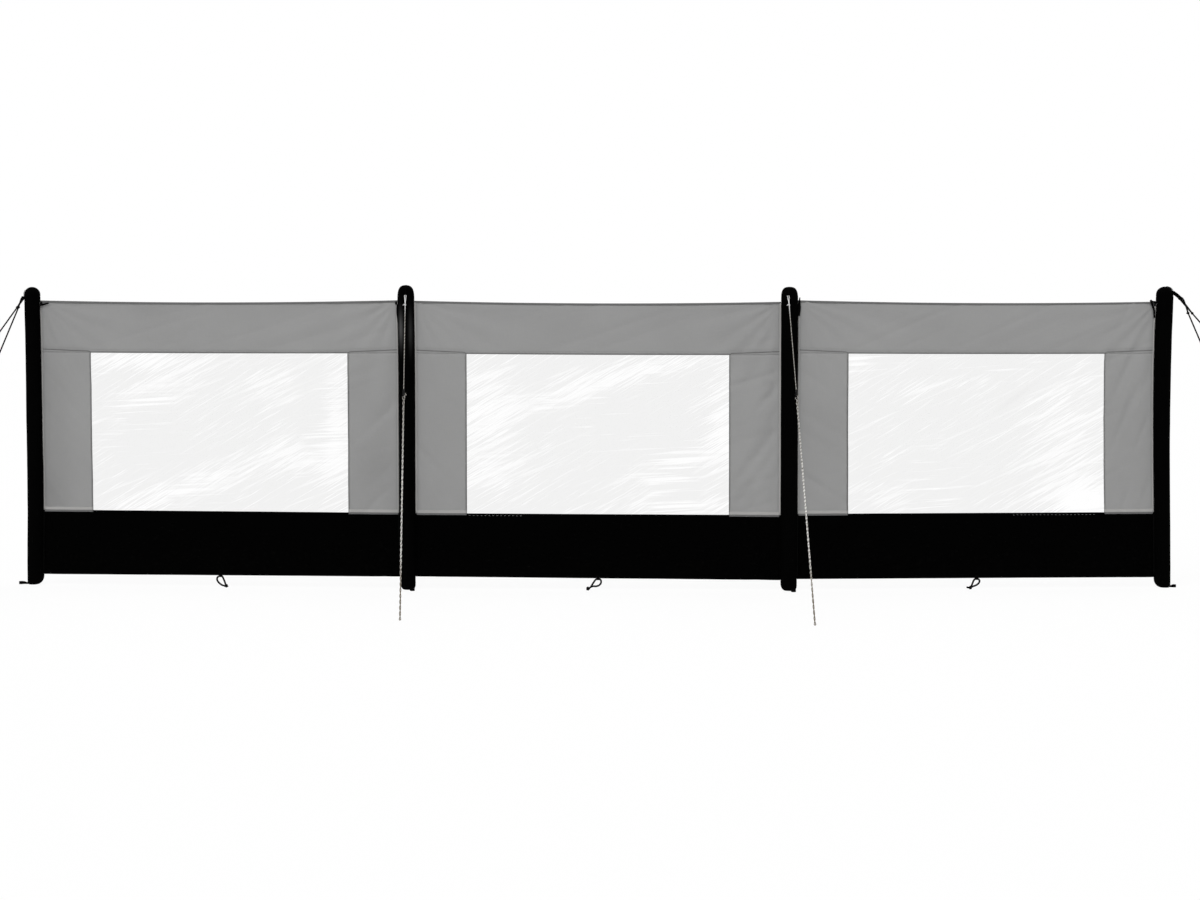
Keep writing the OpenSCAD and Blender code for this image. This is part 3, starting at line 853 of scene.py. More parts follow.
@dataclass
class ClothBay:
    """One bay: band, side panels, window and skirt, with their hems and stitches."""

    bay: Bay
    finishes: Finishes
    mesh_step: float = 0.009
    coarse_step: float = 0.0135
    tuck_in: float = 0.003
    binding_h: float = 0.0084
    binding_drop: float = 0.0020
    seam_h: float = 0.0030
    seam_rise: float = 0.013
    hem_drop: float = 0.0075
    welt_w: float = 0.0055
    welt_out: float = 0.0026
    welt_clear: float = 0.004
    under_rise: float = 0.0012
    skirt_fold: float = 0.016
    skirt_lap: float = 0.014
    panel_y: float = -0.0005
    film_y: float = 0.0007
    seam_y: float = -0.0014
    seam_puff: float = 0.0006
    hem_y: float = -0.0016
    hem_puff: float = 0.0008
    under_y: float = -0.0026
    tape_t: float = 0.0007
    hem_t: float = 0.0008
    fold_half: float = 0.0017
    fold_bend: float = 0.22
    fold_tuck: float = 0.0006
    seam_rows: Span = (0.007, 0.014)
    edge_row: float = 0.011
    window_row: float = 0.005
    top_row: float = 0.0072
    hem_row: float = 0.013
    loose_row: float = 0.009
    side_rows: Span = (-0.0030, 0.0105)
    skirt_rows: Span = (0.003, 0.011)
    creases: Creases = field(init=False)

    def __post_init__(self) -> None:
        """Gives the bay its own slack."""
        self.creases = Creases(seed=11.3 * (self.bay.value + 1))

    @property
    def sides(self) -> tuple[Span, Span]:
        """Where the two side panels start and end."""
        return ((RUN.edge_x, RUN.edge_x + RUN.side_w), (RUN.far_x - RUN.side_w, RUN.far_x))

    @property
    def middle(self) -> Span:
        """Where the window starts and ends between the side panels."""
        return (RUN.edge_x + RUN.side_w, RUN.far_x - RUN.side_w)

    def laid(self, depth: float, puff: float = 0.0, upright: bool = False) -> Put:
        """Gives the shape of a cloth or strip that lies at a depth.

        Args:
            depth: its middle, in front of the bay's plane when negative.
            puff: how far a strip's middle stands forward of its edges.
            upright: whether the strip runs up instead of along.

        Returns:
            A function from x, z and shares to a place.
        """
        def put(x: float, z: float, share_x: float, share_z: float) -> Vector:
            """Place of one vertex."""
            across = share_x if upright else share_z
            crown = puff * (1 - abs(2 * across - 1) ** 3)
            return Vector((x, depth - crown + self.creases.at(x, z), RUN.sagged(x, z)))
        return put

    def risen(self, depth: float, puff: float) -> Put:
        """Gives the shape of the band's seam, which climbs from the window to the posts.

        Args:
            depth: its middle, in front of the bay's plane when negative.
            puff: how far its middle stands forward of its edges.

        Returns:
            A function from x, z and shares to a place.
        """
        flat = self.laid(depth, puff)

        def put(x: float, z: float, share_x: float, share_z: float) -> Vector:
            """Place of one vertex."""
            inset = min(x - RUN.edge_x, RUN.far_x - x) / RUN.side_w
            climb = self.seam_rise * (1.0 - 0.6 * inset) if inset < 1.0 else 0.0
            return flat(x, z + climb, share_x, share_z)
        return put

    def folded(self, half: float, over: bool) -> Put:
        """Gives the shape of a tape folded over the top edge or under the bottom edge.

        Args:
            half: half the tape's flat width.
            over: whether the fold lies at the top.

        Returns:
            A function from x, z and shares to a place.
        """
        def put(x: float, z: float, share_x: float, share_z: float) -> Vector:
            """Place of one vertex."""
            side = 2 * share_z - 1
            bend = max(0.0, 1 - abs(side) / self.fold_bend)
            rise = half * abs(side) - self.fold_tuck * bend
            edge = RUN.top_z - self.binding_drop if over else RUN.hem_z
            height = edge - rise if over else edge + rise
            out = math.copysign(self.fold_half * math.sqrt(max(0.0, 1 - bend * bend)), side)
            return Vector((x, self.panel_y + out + self.creases.at(x, edge), RUN.sagged(x, height)))
        return put

    def build(self) -> None:
        """Builds and dresses the whole bay."""
        self.build_panels()
        self.build_hems()
        self.build_stitches()

    def cloth(self, part: str, x: Span, z: Span, surface: Surface, slot: str) -> None:
        """Makes one panel of the bay.

        Args:
            part: name of the panel, as its node carries it.
            x: first and last place along the bay.
            z: lowest and highest height.
            surface: its material.
            slot: the record's material slot.
        """
        # where light and shade are painted on the film and on the grey cloth
        painted_marks = {"film_clear": FILM_PAINTED_PATCHES, "cloth_grey": CLOTH_PAINTED_SHADE}.get(slot, {})
        sheet = ClothSheet(self.bay, painted_marks.get(self.bay, ()))
        step = self.mesh_step if slot == "cloth_grey" else self.coarse_step
        sheet.add(x, z, (step, step), self.laid(self.film_y if slot == "film_clear" else self.panel_y))
        node = f"{self.bay.label}_{part}"
        piece = finish_piece(sheet.place(), f"{node}_cloth", surface, slot, [node])
        thicken(piece, RUN.cloth_t)

    def build_panels(self) -> None:
        """Makes the band, the side panels, the window and the skirt."""
        left, right = RUN.edge_x, RUN.far_x
        mid_z = (RUN.skirt_top, RUN.band_z)
        grey = (self.finishes.grey, "cloth_grey")
        self.cloth("top_band", (left, right), (RUN.band_z, RUN.top_z - self.binding_drop), *grey)
        self.cloth("left_side", self.sides[0], mid_z, *grey)
        self.cloth("right_side", self.sides[1], mid_z, *grey)
        inset = RUN.side_w - RUN.lap
        self.cloth("window", (left + inset, right - inset), (mid_z[0] - RUN.lap, mid_z[1] + RUN.lap),
                   self.finishes.film, "film_clear")
        self.cloth("skirt", (left, right), (RUN.hem_z, RUN.skirt_top), self.finishes.skirt, "cloth_black")

    def add_welts(self, sheet: ClothSheet, z: Span) -> None:
        """Adds the two welts by the posts between two heights."""
        left, right = RUN.edge_x, RUN.far_x
        for x in ((left - self.tuck_in, left + self.welt_w), (right - self.welt_w, right + self.tuck_in)):
            sheet.add(x, z, (self.welt_w / 8, self.mesh_step),
                      self.laid(self.seam_y, self.welt_out, upright=True))

    def trim(self, sheet: ClothSheet, name: str, surface: Surface, slot: str, depth: float) -> None:
        """Makes a piece of a sheet's strips, as thick as given."""
        thicken(finish_piece(sheet.place(), f"{self.bay.label}_{name}", surface, slot), depth)

    def build_hems(self) -> None:
        """Makes the folded tapes, the seam lines, the welts by the posts and the lower hems."""
        whole, step, low = (RUN.edge_x, RUN.far_x), self.mesh_step, RUN.skirt_top
        # dark tapes: real folds and seams whose darker grey partly paints the shade along the top edge and under
        # the band's seam
        tape = ClothSheet(self.bay)
        tape.add(whole, (RUN.top_z - self.binding_h, RUN.top_z + self.binding_h), (step, self.binding_h / 7),
                 self.folded(self.binding_h, over=True))
        for x in (self.sides[0], self.middle, self.sides[1]):
            tape.add(x, (RUN.band_z, RUN.band_z + self.seam_h), (step, self.seam_h / 4),
                     self.risen(self.seam_y, self.seam_puff))
        for x in self.middle:
            tape.add((x - self.seam_h / 2, x + self.seam_h / 2), (low, RUN.band_z), (self.seam_h / 4, step),
                     self.laid(self.seam_y, self.seam_puff, upright=True))
        for x in self.sides:
            tape.add(x, (low - self.hem_drop, low + self.under_rise), (step, 0.0022),
                     self.laid(self.under_y, self.seam_puff))
        self.trim(tape, "binding", self.finishes.binding, "cloth_grey", self.tape_t)

        # pale hems and welts: their lighter grey is partly a painted highlight on their rolled edges
        hems = ClothSheet(self.bay)
        for x in self.sides:
            hems.add(x, (low - self.hem_drop, low + RUN.lap + RUN.hem_lap), (step, 0.0024),
                     self.laid(self.hem_y, self.hem_puff))
        self.add_welts(hems, (low, RUN.top_z - self.binding_h))
        self.trim(hems, "hems", self.finishes.hem, "cloth_grey", self.hem_t)

        dark = ClothSheet(self.bay)
        dark.add(whole, (RUN.hem_z - self.skirt_fold, RUN.hem_z + self.skirt_fold), (step, 0.0014),
                 self.folded(self.skirt_fold, over=False))
        self.add_welts(dark, (RUN.hem_z + self.welt_clear, low))
        dark.add(self.middle, (low - self.skirt_lap, low), (step, 0.0028), self.laid(self.seam_y, self.seam_puff))
        self.trim(dark, "skirt_hems", self.finishes.skirt, "cloth_black", self.hem_t)

    def sew(self, name: str, rows: Sequence[StitchRow], surface: Surface, slot: str) -> None:
        """Makes one piece from several rows of stitches."""
        thread = Scatter()
        for row in rows:
            row.sew(thread, self.creases)
        finish_piece(RUN.settle(thread.whole(), self.bay), f"{self.bay.label}_{name}", surface, slot)

    def build_stitches(self) -> None:
        """Sews the seams in grey and the skirt in black."""
        left, right, seam, low = RUN.edge_x, RUN.far_x, RUN.band_z, RUN.skirt_top
        (first, last), edges = self.middle, (left + self.edge_row, right - self.edge_row)
        top, hem = RUN.top_z - self.binding_drop - self.top_row, RUN.hem_z + self.hem_row
        rows = [StitchRow((left, top), (right, top), reach=0.0022)]
        rows += [StitchRow((first, seam + rise), (last, seam + rise)) for rise in self.seam_rows]
        for (start, end), climbs in zip(self.sides, ((1.0, 0.4), (0.4, 1.0))):
            begun, done = (seam + self.seam_rise * climb for climb in climbs)
            rows += [StitchRow((start, begun + rise), (end, done + rise)) for rise in self.seam_rows]
        rows += [StitchRow((x, low), (x, seam)) for x in (first - self.window_row, last + self.window_row)]
        rows += [StitchRow((x, low), (x, top)) for x in edges]
        rows += [StitchRow((start, low + rise), (end, low + rise), depth=depth, reach=0.0017)
                 for start, end in self.sides for rise, depth in zip(self.side_rows, (self.under_y, self.hem_y))]
        # grey stitches on the black skirt, painting the glints along its top hem
        if self.bay in GLINT_STITCHES:
            start, end = GLINT_STITCHES[self.bay]
            glint_z = low - self.loose_row
            rows.append(StitchRow((start, glint_z), (end, glint_z), reach=0.0022, pitch=0.017, length=0.011,
                                  width=0.0026))
        self.sew("stitches", rows, self.finishes.thread_grey, "cloth_grey")
        dark = [StitchRow((left, hem), (right, hem), reach=0.0026)]
        dark += [StitchRow((first, low - drop), (last, low - drop), reach=0.0019) for drop in self.skirt_rows]
        dark += [StitchRow((x, hem), (x, low)) for x in edges]
        self.sew("skirt_stitches", dark, self.finishes.thread_black, "cloth_black")


@dataclass
class PostSleeve:
    """An air post in its black cloth sleeve, with a sewn cap and foot."""

    post: Post
    finishes: Finishes
    eye_bearing: float
    foot_flat: float = 0.017
    foot_h: float = 0.024
    foot_lean: float = 0.62
    settled: float = 0.10
    steps: int = 80
    foot_steps: int = 12
    tube_steps: int = 100
    crown_steps: int = 25
    cap_seam: float = 0.008
    foot_seam: float = 0.006
    pinch: float = 0.0009
    pinch_w: float = 0.0016
    gathers: int = 26
    gather: float = 0.0007
    gather_fade: float = 0.013
    crown_fold: float = 0.0008
    tape_t: float = 0.0006
    tape_half: float = 0.0045
    stitch_pitch: float = 0.005
    back_rows: Span = (-0.09, 0.09)
    back_from: float = 0.05
    back_l: float = 1.18
    crown_lifts: tuple[float, ...] = (-0.0034, 0.0008, -0.0028, 0.0050)
    crown_peaks: tuple[float, ...] = (0.0, 0.0036, 0.0018, 0.0)

    @property
    def at_end(self) -> bool:
        """Whether the post stands at an end of the screen."""
        return self.post in (Post.LEFT_END, Post.RIGHT_END)

    @property
    def dome_h(self) -> float:
        """Height of the crown, which is lower on the end posts."""
        return 0.034 if self.at_end else 0.058

    @property
    def dome_power(self) -> float:
        """Squareness of the crown, which is bluntest on the inner posts."""
        return 2.1 if self.at_end else 3.2

    def radius(self, z: float) -> float:
        """Radius of the plain tube and its crown at a height."""
        share = max(0.0, (z - RUN.post_h + self.dome_h) / self.dome_h)
        full = max(0.0, 1 - share ** self.dome_power) ** (1 / self.dome_power)
        return RUN.post_r * RUN.girth(self.post, z) * full

    def lift(self, z: float) -> float:
        """How far the air stretches the crown up at a height."""
        full = RUN.post_r * RUN.girth(self.post, z)
        return (self.crown_lifts[self.post.value] * min(1.0, max(0.0, (z - 1.22) / 0.07))
                + self.crown_peaks[self.post.value] * (1 - self.radius(z) / full))

    def axis(self, z: float) -> Vector:
        """Middle of the post at a height, as it leans."""
        return RUN.post_at(self.post) + Vector((RUN.lean(self.post, z), 0, z + self.lift(z)))

    def settle(self, angle: float, radius: float, z: float) -> Span:
        """Stands the foot squarely under its peg eye and rounds it on the far side.

        Args:
            angle: bearing round the post.
            radius: radius on the even foot.
            z: height on the even foot.

        Returns:
            The leaning foot's radius and height.
        """
        lean = 1 - self.foot_lean * math.cos(angle - math.radians(self.eye_bearing))
        width = RUN.post_r - self.foot_flat
        if z > self.foot_h:
            share = max(0.0, (self.settled - z) / (self.settled - self.foot_h))
            return radius, z + share * self.foot_h * (lean - 1)
        if radius <= self.foot_flat:
            return radius * (RUN.post_r - width * lean) / self.foot_flat, z
        return RUN.post_r - (RUN.post_r - radius) * lean, z * lean

    def outline(self) -> list[Span]:
        """Gives the sleeve's outline.

        Returns:
            Pairs of radius and height, from the middle of the foot to the crown.
        """
        r, low, high = RUN.post_r, self.foot_h, RUN.post_h - self.dome_h
        line = [(0.0, 0.0), (self.foot_flat * 0.5, 0.0), (self.foot_flat, 0.0)]
        for k in range(1, self.foot_steps + 1):
            a = math.pi / 2 * k / self.foot_steps
            line.append((self.foot_flat + (r - self.foot_flat) * math.sin(a), low * (1 - math.cos(a))))
        heights = [low + 0.0016 * k for k in range(1, 9)]
        heights += [low + 0.014 + (high - low - 0.036) * k / self.tube_steps
                    for k in range(1, self.tube_steps + 1)]
        heights += [high - 0.021 + 0.0015 * k for k in range(14)]
        line += [(r, z) for z in heights]
        for k in range(self.crown_steps):
            a = math.pi / 2 * k / self.crown_steps
            line.append((r * math.cos(a) ** (2 / self.dome_power),
                         high + self.dome_h * math.sin(a) ** (2 / self.dome_power)))
        return line + [(0.0, RUN.post_h)]

    def slack(self, angle: float, z: float) -> float:
        """Gives how far the sleeve stands out.

        Args:
            angle: bearing round the post.
            z: height.

        Returns:
            Distance out from the plain tube.
        """
        seed = 3.7 * self.post.value
        cap, foot = RUN.post_h - self.dome_h - self.cap_seam, self.foot_h + self.foot_seam
        out = 0.0
        for seam in (cap, foot):
            gap = abs(z - seam)
            out -= self.pinch * math.exp(-(gap / self.pinch_w) ** 2)
            wave = math.cos(self.gathers * angle + 2.0 * noise.noise(Vector((angle, seam, seed))))
            out += self.gather * wave * math.exp(-gap / self.gather_fade)
        if z > cap:
            out += self.crown_fold * math.cos(9 * angle + seed) * math.exp(-abs(z - cap - 0.02) / 0.02)
        spot = Vector((math.cos(angle) * 1.2, math.sin(angle) * 1.2, z * 5.0 + seed))
        out += 0.0006 * noise.noise(spot) + 0.0004 * noise.noise(spot * 3.1)
        rear = abs(math.atan2(math.sin(angle - math.pi / 2), math.cos(angle - math.pi / 2))) * RUN.post_r
        out += self.tape_t * math.exp(-(rear / self.tape_half) ** 4)
        return out - 0.0004

    def spun(self) -> Shape:
        """Spins the outline into a plain sleeve, with a map in metres, and gives it."""
        shape = bmesh.new()
        marks = [shape.verts.new((r, 0, z)) for r, z in self.outline()]
        edges = [shape.edges.new(pair) for pair in zip(marks, marks[1:])]
        bmesh.ops.spin(shape, geom=marks + edges, cent=(0, 0, 0), axis=(0, 0, 1), angle=2 * math.pi,
                       steps=self.steps, use_merge=True)
        bmesh.ops.remove_doubles(shape, verts=shape.verts, dist=1e-6)
        bmesh.ops.recalc_face_normals(shape, faces=shape.faces)
        layer = shape.loops.layers.uv.new("cloth")
        for face in shape.faces:
            middle = face.calc_center_median()
            bearing = math.atan2(middle.y, middle.x)
            for loop in face.loops:
                at = loop.vert.co
                turn = math.atan2(at.y, at.x) - bearing
                turn = math.atan2(math.sin(turn), math.cos(turn)) + bearing
                loop[layer].uv = (turn * RUN.post_r, at.z)
        return shape

    def build(self) -> None:
        """Builds the sleeve and its stitches."""
        shape = self.spun()
        # painted sheen: the front of the sleeve is lightened where its marks lie
        rub = shape.verts.layers.float.new("rub")
        marks = SLEEVE_PAINTED_SHEEN.get(self.post, ())
        for vert in shape.verts:
            if vert.co.y < 0:
                vert[rub] = sum(mark.at(vert.co.x, vert.co.z) for mark in marks)
            radius, z = math.hypot(vert.co.x, vert.co.y), vert.co.z
            if radius > 1e-5:
                angle = math.atan2(vert.co.y, vert.co.x)
                out = self.slack(angle, z) * min(1.0, radius / 0.02) if z > 0.001 else 0.0
                set_radius, vert.co.z = self.settle(angle, radius, z)
                vert.co.xy *= (set_radius + out) * RUN.girth(self.post, z) / radius
            vert.co.x += RUN.lean(self.post, z)
            vert.co.z += self.lift(z)
        shape.transform(Matrix.Translation(RUN.post_at(self.post)))
        node = f"{self.post.label}_post"
        piece = finish_piece(shape, f"{node}_sleeve", self.finishes.sleeve, "sleeve_black", [node])
        self.build_stitches(f"{node}_stitches")

    def build_stitches(self, name: str) -> None:
        """Sews the rings at the cap and the foot, and the back seam, as one piece."""
        thread = Scatter()
        level = Matrix.Diagonal((0.0006, 0.0017, 0.0005, 1))
        upright = Matrix.Diagonal((0.0005, 0.0006, 0.0017, 1))
        count = int(2 * math.pi * RUN.post_r / self.stitch_pitch)
        for z in (RUN.post_h - self.dome_h - 0.0125, self.foot_h + 0.011):
            for k in range(count):
                turn = 2 * math.pi * k / count
                self.stitch(thread, turn, z, self.settle(turn, RUN.post_r, z)[1] - z, level)
        for side in self.back_rows:
            for k in range(int(self.back_l / self.stitch_pitch)):
                self.stitch(thread, math.pi / 2 + side, self.back_from + self.stitch_pitch * k, 0.0, upright)
        finish_piece(thread.whole(), name, self.finishes.thread_black, "sleeve_black")

    def stitch(self, thread: Scatter, turn: float, z: float, rise: float, size: Matrix) -> None:
        """Adds one stitch to the sleeve.

        Args:
            thread: the stitches so far.
            turn: bearing round the post.
            z: height on the even sleeve.
            rise: how far the settled foot lifts it.
            size: the stitch's own size.
        """
        out = (RUN.post_r + self.slack(turn, z)) * RUN.girth(self.post, z)
        place = Matrix.Translation(self.axis(z) + Vector((0, 0, rise))) @ Matrix.Rotation(turn, 4, "Z")
        thread.add(place @ Matrix.Translation((out, 0, 0)) @ size)


def smooth_route(points: Sequence[Vector], spacing: float) -> list[Vector]:
    """Rounds a route through points.

    Args:
        points: places that the route passes.
        spacing: distance between the new points.

    Returns:
        Points of an even Catmull-Rom curve.
    """
    ends = [points[0] * 2 - points[1], *points, points[-1] * 2 - points[-2]]
    route = [points[0].copy()]
    for p, a, b, q in zip(ends, ends[1:], ends[2:], ends[3:]):
        count = max(1, round((b - a).length / spacing))
        for k in range(1, count + 1):
            t = k / count
            route.append(0.5 * (2 * a + (b - p) * t + (2 * p - 5 * a + 4 * b - q) * t * t
                                + (3 * a - p - 3 * b + q) * t ** 3))
    return route


def straight_route(a: Vector, b: Vector, spacing: float) -> list[Vector]:
    """Points of a straight line, evenly apart."""
    count = max(1, round((b - a).length / spacing))
    return [a.lerp(b, k / count) for k in range(count + 1)]


class RopeSweep:
    """Laid ropes in one mesh, each vertex carrying its place in the lay."""

    strands = 3
    twist = 0.017
    lobes = 0.11
    knot_steps = 66

    def __init__(self, sides: int = 10) -> None:
        """Starts an empty mesh, for ropes with as many corners as given."""
        self.shape, self.sides = bmesh.new(), sides
        self.shape.verts.layers.float_vector.new("lay")

    def frames(self, route: Sequence[Vector], closed: bool) -> list[tuple[Vector, Vector, Vector, float]]:
        """Carries a section along a route without turning it.

        Args:
            route: points along the rope's middle.
            closed: whether the route ends where it starts.

        Returns:
            Each point with its two directions across and its distance from the start.
        """
        rings, travelled, normal = [], 0.0, Vector((0, 0, 1))
        for k, point in enumerate(route):
            before = route[k - 1] if k else route[-2 if closed else 0]
            after = route[k + 1] if k + 1 < len(route) else route[1 if closed else -1]
            tangent = (after - before).normalized()
            if k == 0 and abs(tangent.z) > 0.9:
                normal = Vector((1, 0, 0))
            normal = (normal - tangent * normal.dot(tangent)).normalized()
            travelled += (point - route[k - 1]).length if k else 0.0
            rings.append((point, normal, tangent.cross(normal), travelled))
        return rings

    def add(self, route: Sequence[Vector], radius: float, closed: bool = False) -> None:
        """Sweeps one rope along a route, as a grid rolled into a tube.

        Args:
            route: points along its middle.
            radius: radius over its strands.
            closed: whether the route ends where it starts.
        """
        rings = self.frames(route, closed)
        length, rate = rings[-1][3], 2 * math.pi / self.twist
        if closed:
            first, last = rings[0], rings[-1]
            drift = math.atan2(last[1].dot(first[2]), last[1].dot(first[1]))
            rate = (2 * math.pi * round((length * rate + drift) / (2 * math.pi)) - drift) / length
        part = bmesh.new()
        lay = part.verts.layers.float_vector.new("lay")
        bmesh.ops.create_grid(part, x_segments=len(route) - 1, y_segments=self.sides, size=0.5)
        for vert in part.verts:
            point, normal, side, travelled = rings[round((vert.co.x + 0.5) * (len(route) - 1))]
            phase = 2 * math.pi * round((vert.co.y + 0.5) * self.sides) / self.sides
            turn = phase + rate * travelled
            reach = radius * (1 - self.lobes + self.lobes * math.cos(self.strands * phase))
            vert.co = point + reach * (math.cos(turn) * normal + math.sin(turn) * side)
            vert[lay] = Vector((math.cos(phase), math.sin(phase), travelled))
        bmesh.ops.remove_doubles(part, verts=part.verts, dist=1e-6)
        if not closed:
            bmesh.ops.edgeloop_fill(part, edges=[edge for edge in part.edges if edge.is_boundary])
        bmesh.ops.recalc_face_normals(part, faces=part.faces)
        merge(part, self.shape)

    def knot(self, centre: Vector, along: Vector, size: float, radius: float) -> None:
        """Ties an overhand knot round a rope.

        Args:
            centre: middle of the knot.
            along: direction of the rope.
            size: outside radius of the knot.
            radius: radius of its rope.
        """
        aim = along.to_track_quat("Z", "Y").to_matrix()
        unit = (size - radius) / 3
        route = []
        for k in range(self.knot_steps + 1):
            t = 2 * math.pi * (k % self.knot_steps) / self.knot_steps
            out = 2 + math.cos(3 * t)
            route.append(centre + aim @ Vector((unit * out * math.cos(2 * t), unit * out * math.sin(2 * t),
                                                1.5 * unit * math.sin(3 * t))))
        self.add(route, radius, closed=True)


@dataclass
class GuyLine:
    """A reeved guy line: fork, knot, single line, runner, wound double line and ground loop."""

    post: Post
    side: str
    strap_bearing: float
    bearing: float
    rope: Surface
    reach: float = 1.030
    strap_out: float = 0.013
    strap_rise: float = 0.020
    strap_tilt: float = 30.0
    rope_r: float = 0.0025
    gap: float = 0.0003
    strap_w: float = 0.006
    fork_w: float = 0.0058
    strap_t: float = 0.0016
    fork_l: float = 0.045
    runner_share: float = 0.31
    runner_pitch: float = 0.014
    runner_t: float = 0.005
    loop_d: float = 0.002
    wind: float = 0.052
    tail_l: float = 0.009
    stop_aside: float = 0.008
    knot_size: float = 2.35
    knot_l: float = 5.52
    fork_bulge: float = 0.0
    spacing: float = 0.0028

    @property
    def strap_dir(self) -> Vector:
        """Direction in which the strap leaves the post."""
        a, tilt = math.radians(self.strap_bearing), math.radians(self.strap_tilt)
        return Vector((math.cos(a) * math.cos(tilt), math.sin(a) * math.cos(tilt), -math.sin(tilt)))

    @property
    def strap_side(self) -> Vector:
        """Level direction across the strap."""
        a = math.radians(self.strap_bearing + 90)
        return Vector((math.cos(a), math.sin(a), 0))

    @property
    def eye(self) -> Vector:
        """Middle of the strap's fold, which the rope passes."""
        a = math.radians(self.strap_bearing)
        out = RUN.post_r + self.strap_out
        high = RUN.top_z + self.strap_rise
        return RUN.post_at(self.post) + Vector((out * math.cos(a), out * math.sin(a), high))

    @property
    def ground(self) -> Vector:
        """Where the line meets the ground."""
        a, out = math.radians(self.bearing), self.reach
        return RUN.post_at(self.post) + Vector((out * math.cos(a), out * math.sin(a), self.rope_r))

    @property
    def line(self) -> Vector:
        """Direction of the line, from the strap to the ground."""
        return (self.ground - self.eye).normalized()

    @property
    def across(self) -> Vector:
        """Level direction across the line."""
        return Vector((-self.line.y, self.line.x, 0)).normalized()

    @property
    def runner(self) -> Vector:
        """Middle of the runner."""
        return (self.eye + self.line * self.fork_l).lerp(self.ground, self.runner_share)

    def strands(self, centre: Vector) -> tuple[list[Vector], list[Vector]]:
        """Winds the two strands of the doubled line round each other.

        Args:
            centre: middle of the ground loop.

        Returns:
            The points of both strands, from the runner to the ground loop.
        """
        runner, across = self.runner, self.across
        span, up = centre - runner, self.line.cross(across)
        count, tight = round(span.length / self.spacing), self.rope_r * 1.04
        near, far = self.runner_pitch / 2 - tight, self.loop_d / 2 + self.rope_r - tight
        turns = round(span.length / self.wind) + 0.25
        falling, rising = [], []
        for k in range(count + 1):
            done = span.length * k / count
            half = tight + near * math.exp(-done / 0.022) + far * math.exp((done - span.length) / 0.008)
            turn = 2 * math.pi * turns * k / count
            out = half * (up * math.cos(turn) + across * math.sin(turn))
            falling.append(runner + span * k / count + out)
            rising.append(runner + span * k / count - out)
        for point in falling + rising:
            point.z = max(point.z, self.rope_r)
        return falling, rising

    def build(self) -> None:
        """Builds the rope of the whole line as one piece."""
        line, eye, across = self.line, self.eye, self.across
        knot_l = self.rope_r * self.knot_l
        over = self.strap_dir * (self.rope_r + 2 * self.gap + self.strap_t + self.rope_r)
        tie = eye + line * (self.fork_l + knot_l / 2)
        turn_r = self.loop_d / 2 + self.rope_r
        centre = self.ground - line * turn_r
        falling, rising = self.strands(centre)
        stop = rising[0] - line * (self.runner_t / 2 + self.gap + knot_l / 2) + across * self.stop_aside
        rope = RopeSweep()
        half = self.strap_side * self.fork_w
        near, far = ([tie, tie.lerp(eye + fork + over, 0.55) + fork * self.fork_bulge, eye + fork + over * 0.8,
                      eye + fork * 0.55] for fork in (half, -half))
        rope.add(smooth_route(near + far[::-1], self.spacing), self.rope_r)
        rope.knot(tie, line, self.rope_r * self.knot_size, self.rope_r)
        rope.add(smooth_route([tie, tie - across * self.tail_l * 0.6 - line * 0.002,
                               tie - across * self.tail_l + line * 0.003], self.spacing), self.rope_r)
        rope.add(straight_route(tie, falling[0], self.spacing), self.rope_r)
        bend = [centre + turn_r * (across * math.cos(a) + line * math.sin(a))
                for a in (math.pi * k / 14 for k in range(1, 14))]
        rope.add(falling + bend + rising[::-1]
                 + straight_route(rising[0], stop - line * (knot_l / 2 + self.tail_l * 0.3), self.spacing)[1:],
                 self.rope_r)
        rope.knot(stop, line, self.rope_r * self.knot_size, self.rope_r)
        node = f"{self.post.label}_{self.side}_guy"
        finish_piece(rope.shape, f"{node}_rope", self.rope, "rope", [node])


@dataclass
class RunnerCollars:
    """Moulded collars in which the lines run through the runners."""

    guys: Sequence[GuyLine]
    plastic: Surface
    length: float = 0.027
    foot: float = 0.0025
    mouth_wall: float = 0.0018
    foot_wall: float = 0.0028
    sides: int = 24

    def build(self) -> None:
        """Makes all the collars as one piece."""
        shape = bmesh.new()
        for guy in self.guys:
            up = guy.line.cross(guy.across)
            middle = guy.runner + up * guy.runner_pitch / 2 + guy.line * (self.foot - self.length / 2)
            turn = guy.line.to_track_quat("Z", "Y").to_matrix().to_4x4()
            bmesh.ops.create_cone(shape, cap_ends=True, segments=self.sides, depth=self.length,
                                  radius1=guy.rope_r + self.mouth_wall, radius2=guy.rope_r + self.foot_wall,
                                  matrix=Matrix.Translation(middle) @ turn)
        rims = [edge for edge in shape.edges if edge.calc_face_angle() > math.radians(50)]
        bmesh.ops.bevel(shape, geom=rims, offset=0.0007, segments=3, profile=0.5, affect="EDGES")
        finish_piece(shape, "guy_runner_collars", self.plastic, "plastic_black")


